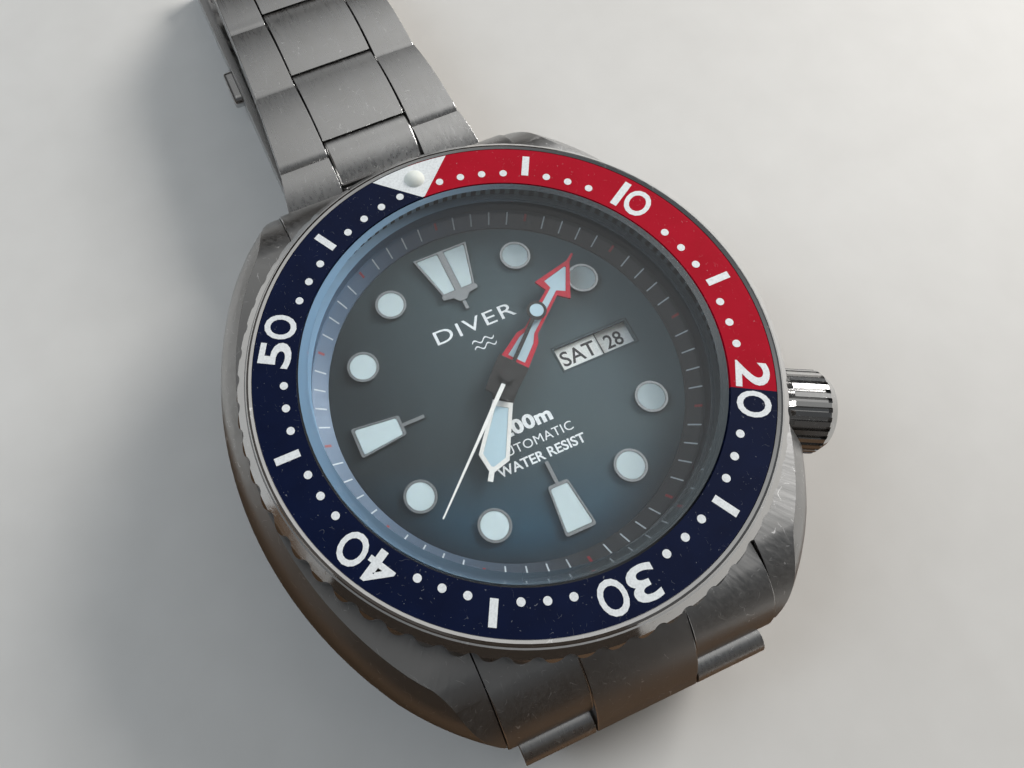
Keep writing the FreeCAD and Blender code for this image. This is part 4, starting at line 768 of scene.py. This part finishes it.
def marker_lume():
    """Lume with a rounded edge in each marker's well."""
    wells = []
    for hour in ROUND_MARKER_HOURS:
        wells.append(disc_points(MARKER_WELL_R, clock_point(MARKER_CIRCLE, 30 * hour), 40))
    for turn in (180, 270):
        wells.append(turned_points(rounded(DART_WELL, 0.2), turn))
    wells.append(rounded(TWIN_WELL, 0.12))
    wells.append(rounded([(-x, y) for x, y in reversed(TWIN_WELL)], 0.12))
    low, high = DIAL_TOP + 0.1, MARKER_TOP - LUME_ROOT
    mesh = slab_mesh("marker_lume", [(points, low, high) for points in wells])
    piece = add_piece("marker_lume", mesh, LUME, "case")
    soften(piece, 0.05, 3)


def lume_in_hand(name, body, points, low, high):
    mesh = slab_mesh(name, [(points, low, high)])
    add_piece(name, mesh, HAND_LUME, body)


def hand_lume():
    """The lume in the hour and minute hands, and the disc on the seconds hand's short end."""
    low = corner("hour_hand", 0).z + LUME_ROOT
    points = turned_points(mirrored(HOUR_WELL), HOUR_CLOCKWISE)
    lume_in_hand("hour_hand_lume", "hour", points, low, low + LUME_DEEP)
    low = corner("minute_hand", 0).z + LUME_ROOT
    points = turned_points(mirrored(MINUTE_WELL), MINUTE_CLOCKWISE)
    lume_in_hand("minute_hand_lume", "minute", points, low, low + LUME_DEEP)
    high = corner("seconds_hand", 1).z - SECOND_DISC_DROP
    centre = clock_point(SECOND_DISC_AT, SECOND_CLOCKWISE + 180)
    points = disc_points(SECOND_DISC_R, centre, 32)
    lume_in_hand("seconds_hand_lume", "seconds", points, high - 0.055, high - 0.012)


def disc_words(name, body, words, radius, top, high, wide, spacing):
    """Words round a disc, read from its centre outwards, the first of them in the window."""
    meshes = []
    for index, word in enumerate(words):
        turn = Matrix.Rotation(math.radians(FULL_TURN / len(words) * index), 4, "Z")
        place = turn @ level(radius, DISC_RAISE, top - 0.003)
        meshes.append(text_mesh(name, word, high, place, 0.008, 0.012, wide, spacing))
    add_piece(name, joined(name, meshes), BLACK_PRINT, body)


def date_print():
    """Every day, twice round, and every date; Saturday the 28th stands in the window."""
    days = ("SAT", "FRI", "THU", "WED", "TUE", "MON", "SUN") * 2
    disc_words("day_names", "day_disc", days, DAY_CIRCLE, DAY_TOP, 1.28, 1.0, 1.02)
    dates = [str((27 - index) % 31 + 1) for index in range(31)]
    disc_words("date_numbers", "date_disc", dates, DATE_CIRCLE, DATE_TOP, 1.22, 0.95, 1.0)


def window_frame():
    """The dark sloped edge of the day and date opening, and the thin bar between the two."""
    x_low, x_high = WINDOW_X
    y_low, y_high = WINDOW_Y
    inner_loop = [(x_high, y_low), (x_high, y_high), (x_low, y_high), (x_low, y_low)]
    outer_loop = [(x_high + WINDOW_SLOPE, y_low - WINDOW_SLOPE),
                  (x_high + WINDOW_SLOPE, y_high + WINDOW_SLOPE),
                  (x_low - WINDOW_SLOPE, y_high + WINDOW_SLOPE),
                  (x_low - WINDOW_SLOPE, y_low - WINDOW_SLOPE)]
    build = bmesh.new()
    rows = []
    for loop, z in ((outer_loop, DIAL_TOP - 0.005), (outer_loop, DIAL_TOP + 0.035),
                    (inner_loop, DIAL_TOP - 0.09), (inner_loop, DIAL_TOP - 0.14)):
        rows.append([build.verts.new((x * MM, y * MM, z * MM)) for x, y in loop])
    rows.append(rows[0])
    for first, second in zip(rows, rows[1:]):
        for index in range(4):
            after = (index + 1) % 4
            build.faces.new((first[index], first[after], second[after], second[index]))
    bmesh.ops.recalc_face_normals(build, faces=build.faces)
    mesh = mesh_from("window_frame", build)
    look = metal("window_edge", rgb(0.05, 0.055, 0.06), 0.3, 4.0)
    add_piece("window_frame", mesh, look, "case")
    left, right = DIVIDER_X
    low, high = y_low - 0.02, y_high + 0.02
    bar = [(right, low), (right, high), (left, high), (left, low)]
    mesh = slab_mesh("window_divider", [(bar, DAY_TOP + 0.03, DAY_TOP + 0.07)])
    add_piece("window_divider", mesh, look, "case")


def dial_words():
    """Plain generic wording. Each line is words, height, height of its middle, bold, wide, spacing."""
    z = DIAL_TOP - WORD_ROOT
    lines = [("DIVER", 1.2, 5.6, 0.0, 1.4, 1.12),
             ("200m", 1.2, -3.55, 0.04, 1.2, 1.05),
             ("AUTOMATIC", 0.72, -5.1, 0.0, 1.05, 1.05),
             ("WATER RESIST", 0.78, -6.35, 0.02, 1.05, 1.0)]
    meshes = []
    for words, high, y, bold, wide, spacing in lines:
        meshes.append(text_mesh("words", words, high, level(0, y, z), PRINT, bold, wide, spacing))
    add_piece("dial_words", joined("dial_words", meshes), WHITE_PRINT, "case")


def dial_emblem():
    """Two small waves of two swings each."""
    half_long, thick, swing, steps = 0.95, 0.13, 0.17, 24
    waves = []
    for middle in (4.1, 3.55):
        crest = []
        for index in range(steps + 1):
            x = -half_long + 2 * half_long * index / steps
            crest.append((x, middle + swing * math.sin(index * math.pi / 6)))
        under = [(x, y - thick) for x, y in reversed(crest)]
        waves.append((crest[::-1] + under[::-1], DIAL_TOP - WORD_ROOT, DIAL_TOP + PRINT))
    add_piece("dial_emblem", slab_mesh("dial_emblem", waves), WHITE_PRINT, "case")


# ---- bevelled steel ----------------------------------------------------------------------
def soften(piece, width, segments=2):
    """Rounds a piece's sharp edges with a bevel of a width in mm."""
    bevel = piece.modifiers.new("soft_edges", "BEVEL")
    bevel.width = width * MM
    bevel.segments = segments
    bevel.limit_method = "ANGLE"
    bevel.angle_limit = math.radians(SHARP_EDGE)
    bevel.harden_normals = True
    return bevel


def bevelled_copy(node, body, width, segments=2):
    """A smooth-shaded copy of a CAD node with its sharp edges broken and polished."""
    original = frame["nodes"][node]
    build = bmesh.new()
    build.from_mesh(original.data)
    bmesh.ops.remove_doubles(build, verts=build.verts, dist=SAME_POINT_STEEL)
    bmesh.ops.dissolve_limit(build, angle_limit=math.radians(FLAT_EDGE), verts=build.verts,
                             edges=build.edges)
    for face in build.faces:
        face.smooth = True
    for edge in build.edges:
        if len(edge.link_faces) == 2 and edge.calc_face_angle(0.0) > math.radians(SHARP_EDGE):
            edge.smooth = False
    mesh = mesh_from(node + "_soft", build)
    piece = add_piece(node + "_soft", mesh, original.data.materials[0], body)
    mesh.materials.append(POLISHED)
    soften(piece, width, segments).material = 1
    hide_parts(node)


def soft_steel():
    """The bracelet's, clasp's and case's edges, each broken by its own width."""
    for name in LINKS_TOP + LINKS_UNDER:
        bevelled_copy(name, name, 0.2, 3)
    for name in ("end_link_top", "end_link_under"):
        bevelled_copy(name, "case", 0.12)
    bevelled_copy("clasp_cover", "clasp_cover", 0.12)
    bevelled_copy("clasp_safety_lock", "clasp_safety_lock", 0.08)
    bevelled_copy("case_middle", "case", 0.1)


# ---- light, floor and camera -------------------------------------------------------------
def floor():
    """A pale floor that passes into the backdrop, away from the watch, and is clear from below."""
    build = bmesh.new()
    corners = [(-FLOOR_HALF, -FLOOR_HALF), (FLOOR_HALF, -FLOOR_HALF),
               (FLOOR_HALF, FLOOR_HALF), (-FLOOR_HALF, FLOOR_HALF)]
    build.faces.new([build.verts.new((x, y, 0)) for x, y in corners])
    mesh = mesh_from("floor", build)
    g = Graph("pale_floor")
    at = g.place()
    grain = g.noise(at, 0.2, 4.0)
    base = g.mix(grain, rgb(0.60, 0.58, 0.55), rgb(0.66, 0.64, 0.61))
    lit = g.node("BsdfPrincipled", {"Base Color": base, "Roughness": 0.6})
    glow = g.node("Emission", {"Color": BACKDROP, "Strength": ROOM_STRENGTH})
    seen = g.node("LightPath").outputs["Is Camera Ray"]
    far_away = g.range(g.from_axis(at), FADE_START / MM, FADE_END / MM)
    far_share = g.math("MULTIPLY", far_away, seen)
    both = g.node("MixShader", {0: far_share, 1: lit.outputs[0], 2: glow.outputs[0]})
    below = g.node("NewGeometry").outputs["Backfacing"]
    clear = g.node("BsdfTransparent")
    shown = g.node("MixShader", {0: below, 1: both.outputs[0], 2: clear.outputs[0]})
    g.tree.links.new(shown.outputs[0], g.end.inputs["Surface"])
    mesh.materials.append(g.material)
    plane = bpy.data.objects.new("floor", mesh)
    plane.location.z = FLOOR_Z
    bpy.context.scene.collection.objects.link(plane)
    keep_under(plane)


def keep_under(plane):
    """Drives the floor's height to the lowest corner of any body, so that no pose cuts through it."""
    lowest = plane.driver_add("location", 2).driver
    lowest.type = "MIN"
    for body, nodes in frame["record"]["behaviour"]["bodies"].items():
        boxes = [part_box(node) for node in nodes]
        for y in (min(box[0].y for box in boxes), max(box[1].y for box in boxes)):
            for z in (min(box[0].z for box in boxes), max(box[1].z for box in boxes)):
                guide = bpy.data.objects.new("floor_guide", None)
                guide.location = (0, y, z)
                bpy.context.scene.collection.objects.link(guide)
                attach(guide, body)
                variable = lowest.variables.new()
                variable.type = "TRANSFORMS"
                variable.targets[0].id = guide
                variable.targets[0].transform_type = "LOC_Z"
                variable.targets[0].transform_space = "WORLD_SPACE"


def area_light(name, place, aim, size, power, colour):
    """A soft lamp that faces a point."""
    data = bpy.data.lights.new(name, "AREA")
    data.shape = "RECTANGLE"
    data.size, data.size_y = size
    data.energy = power
    data.color = colour
    lamp = bpy.data.objects.new(name, data)
    lamp.location = place
    direction = Vector(aim) - Vector(place)
    lamp.rotation_euler = direction.to_track_quat("-Z", "Y").to_euler()
    bpy.context.scene.collection.objects.link(lamp)
    return lamp


def room():
    """A dim room with one soft bright patch high up on the 2 o'clock side.

    Camera rays see a plain pale backdrop in its place.
    """
    world = bpy.data.worlds.new("room")
    world.use_nodes = True
    tree = world.node_tree
    coords = tree.nodes.new("ShaderNodeTexCoord")
    toward = tree.nodes.new("ShaderNodeVectorMath")
    toward.operation = "DOT_PRODUCT"
    toward.inputs[1].default_value = BRIGHT_SIDE
    ramp = tree.nodes.new("ShaderNodeValToRGB")
    tree.links.new(coords.outputs["Generated"], toward.inputs[0])
    tree.links.new(toward.outputs["Value"], ramp.inputs[0])
    stops = ((0.0, DARK_ROOM), (0.72, MID_ROOM), (0.96, BRIGHT_ROOM))
    ramp.color_ramp.elements[0].position, ramp.color_ramp.elements[0].color = stops[0]
    ramp.color_ramp.elements[1].position, ramp.color_ramp.elements[1].color = stops[2]
    middle = ramp.color_ramp.elements.new(stops[1][0])
    middle.color = stops[1][1]
    backdrop = tree.nodes.new("ShaderNodeMix")
    backdrop.data_type = "RGBA"
    seen = tree.nodes.new("ShaderNodeLightPath").outputs["Is Camera Ray"]
    tree.links.new(seen, backdrop.inputs[0])
    tree.links.new(ramp.outputs[0], backdrop.inputs[6])
    backdrop.inputs[7].default_value = BACKDROP
    tree.links.new(backdrop.outputs[2], tree.nodes["Background"].inputs["Color"])
    tree.nodes["Background"].inputs["Strength"].default_value = ROOM_STRENGTH
    bpy.context.scene.world = world


def reflected_only(name, corners, look):
    """A card that shows in reflections and nowhere else."""
    build = bmesh.new()
    build.faces.new([build.verts.new(point) for point in corners])
    mesh = mesh_from(name, build)
    mesh.materials.append(look)
    card = bpy.data.objects.new(name, mesh)
    bpy.context.scene.collection.objects.link(card)
    card.visible_camera = False
    card.visible_diffuse = False
    card.visible_shadow = False
    card.visible_transmission = False


def standing_card(name, start, end, high):
    """A dark upright card between two points of the floor: painted shade that shows only in reflections.
    """
    corners = [(*start, FLOOR_Z), (*end, FLOOR_Z), (*end, high), (*start, high)]
    reflected_only(name, corners, PAINTED_SHADE_CARD)


def painted_table_reflection():
    """The flanks on the 7 o'clock side mirror a warm brown sheet in place of the floor: a painted
    reflection of a brown table, which also paints shade on them.
    """
    left, right = TABLE_X
    low, high = TABLE_Y
    z = FLOOR_Z + TABLE_RAISE
    corners = [(left, low, z), (right, low, z), (right, high, z), (left, high, z)]
    reflected_only("painted_table_reflection", corners, TABLE_REFLECTION_LOOK)


def lighting():
    """The room, a window lamp, a blue sky lamp that the glass doesn't mirror, the cards that paint shade
    into reflections, and the sheet that paints a table's reflection.
    """
    room()
    area_light("window", WINDOW_LIGHT_AT, WINDOW_LIGHT_AIM, WINDOW_LIGHT_SIZE, WINDOW_LIGHT_WATTS,
               WINDOW_LIGHT_COLOUR)
    sky = area_light("sky_card", SKY_LIGHT_AT, (0, 0, 0), SKY_LIGHT_SIZE, SKY_LIGHT_WATTS,
                     SKY_LIGHT_COLOUR)
    sky.visible_glossy = False
    sky.visible_transmission = False
    standing_card("dark_card_6", CARD_6_FROM, CARD_6_TO, CARD_6_HIGH)
    standing_card("dark_card_12", CARD_12_FROM, CARD_12_TO, CARD_12_HIGH)
    painted_table_reflection()


def camera():
    """Looks down on the watch from above its 7 o'clock side."""
    data = bpy.data.cameras.new("camera")
    data.sensor_width = SENSOR
    data.lens = SENSOR * FOCAL_SHARE
    data.shift_x = SHIFT_ACROSS
    data.shift_y = SHIFT_UP
    data.clip_start = 0.001
    data.clip_end = 10.0
    view = bpy.data.objects.new("camera", data)
    back = CAMERA_RIGHT.cross(CAMERA_UP).normalized()
    turn = Matrix((CAMERA_RIGHT, CAMERA_UP, back)).transposed().to_4x4()
    view.matrix_world = Matrix.Translation(CAMERA_AT * MM) @ turn
    bpy.context.scene.collection.objects.link(view)
    bpy.context.scene.camera = view
    bpy.context.scene.view_settings.view_transform = "Standard"


dress_nodes()
insert_marks()
insert_figures()
minute_ring()
marker_lume()
hand_lume()
date_print()
window_frame()
dial_words()
dial_emblem()
soft_steel()
floor()
lighting()
camera()
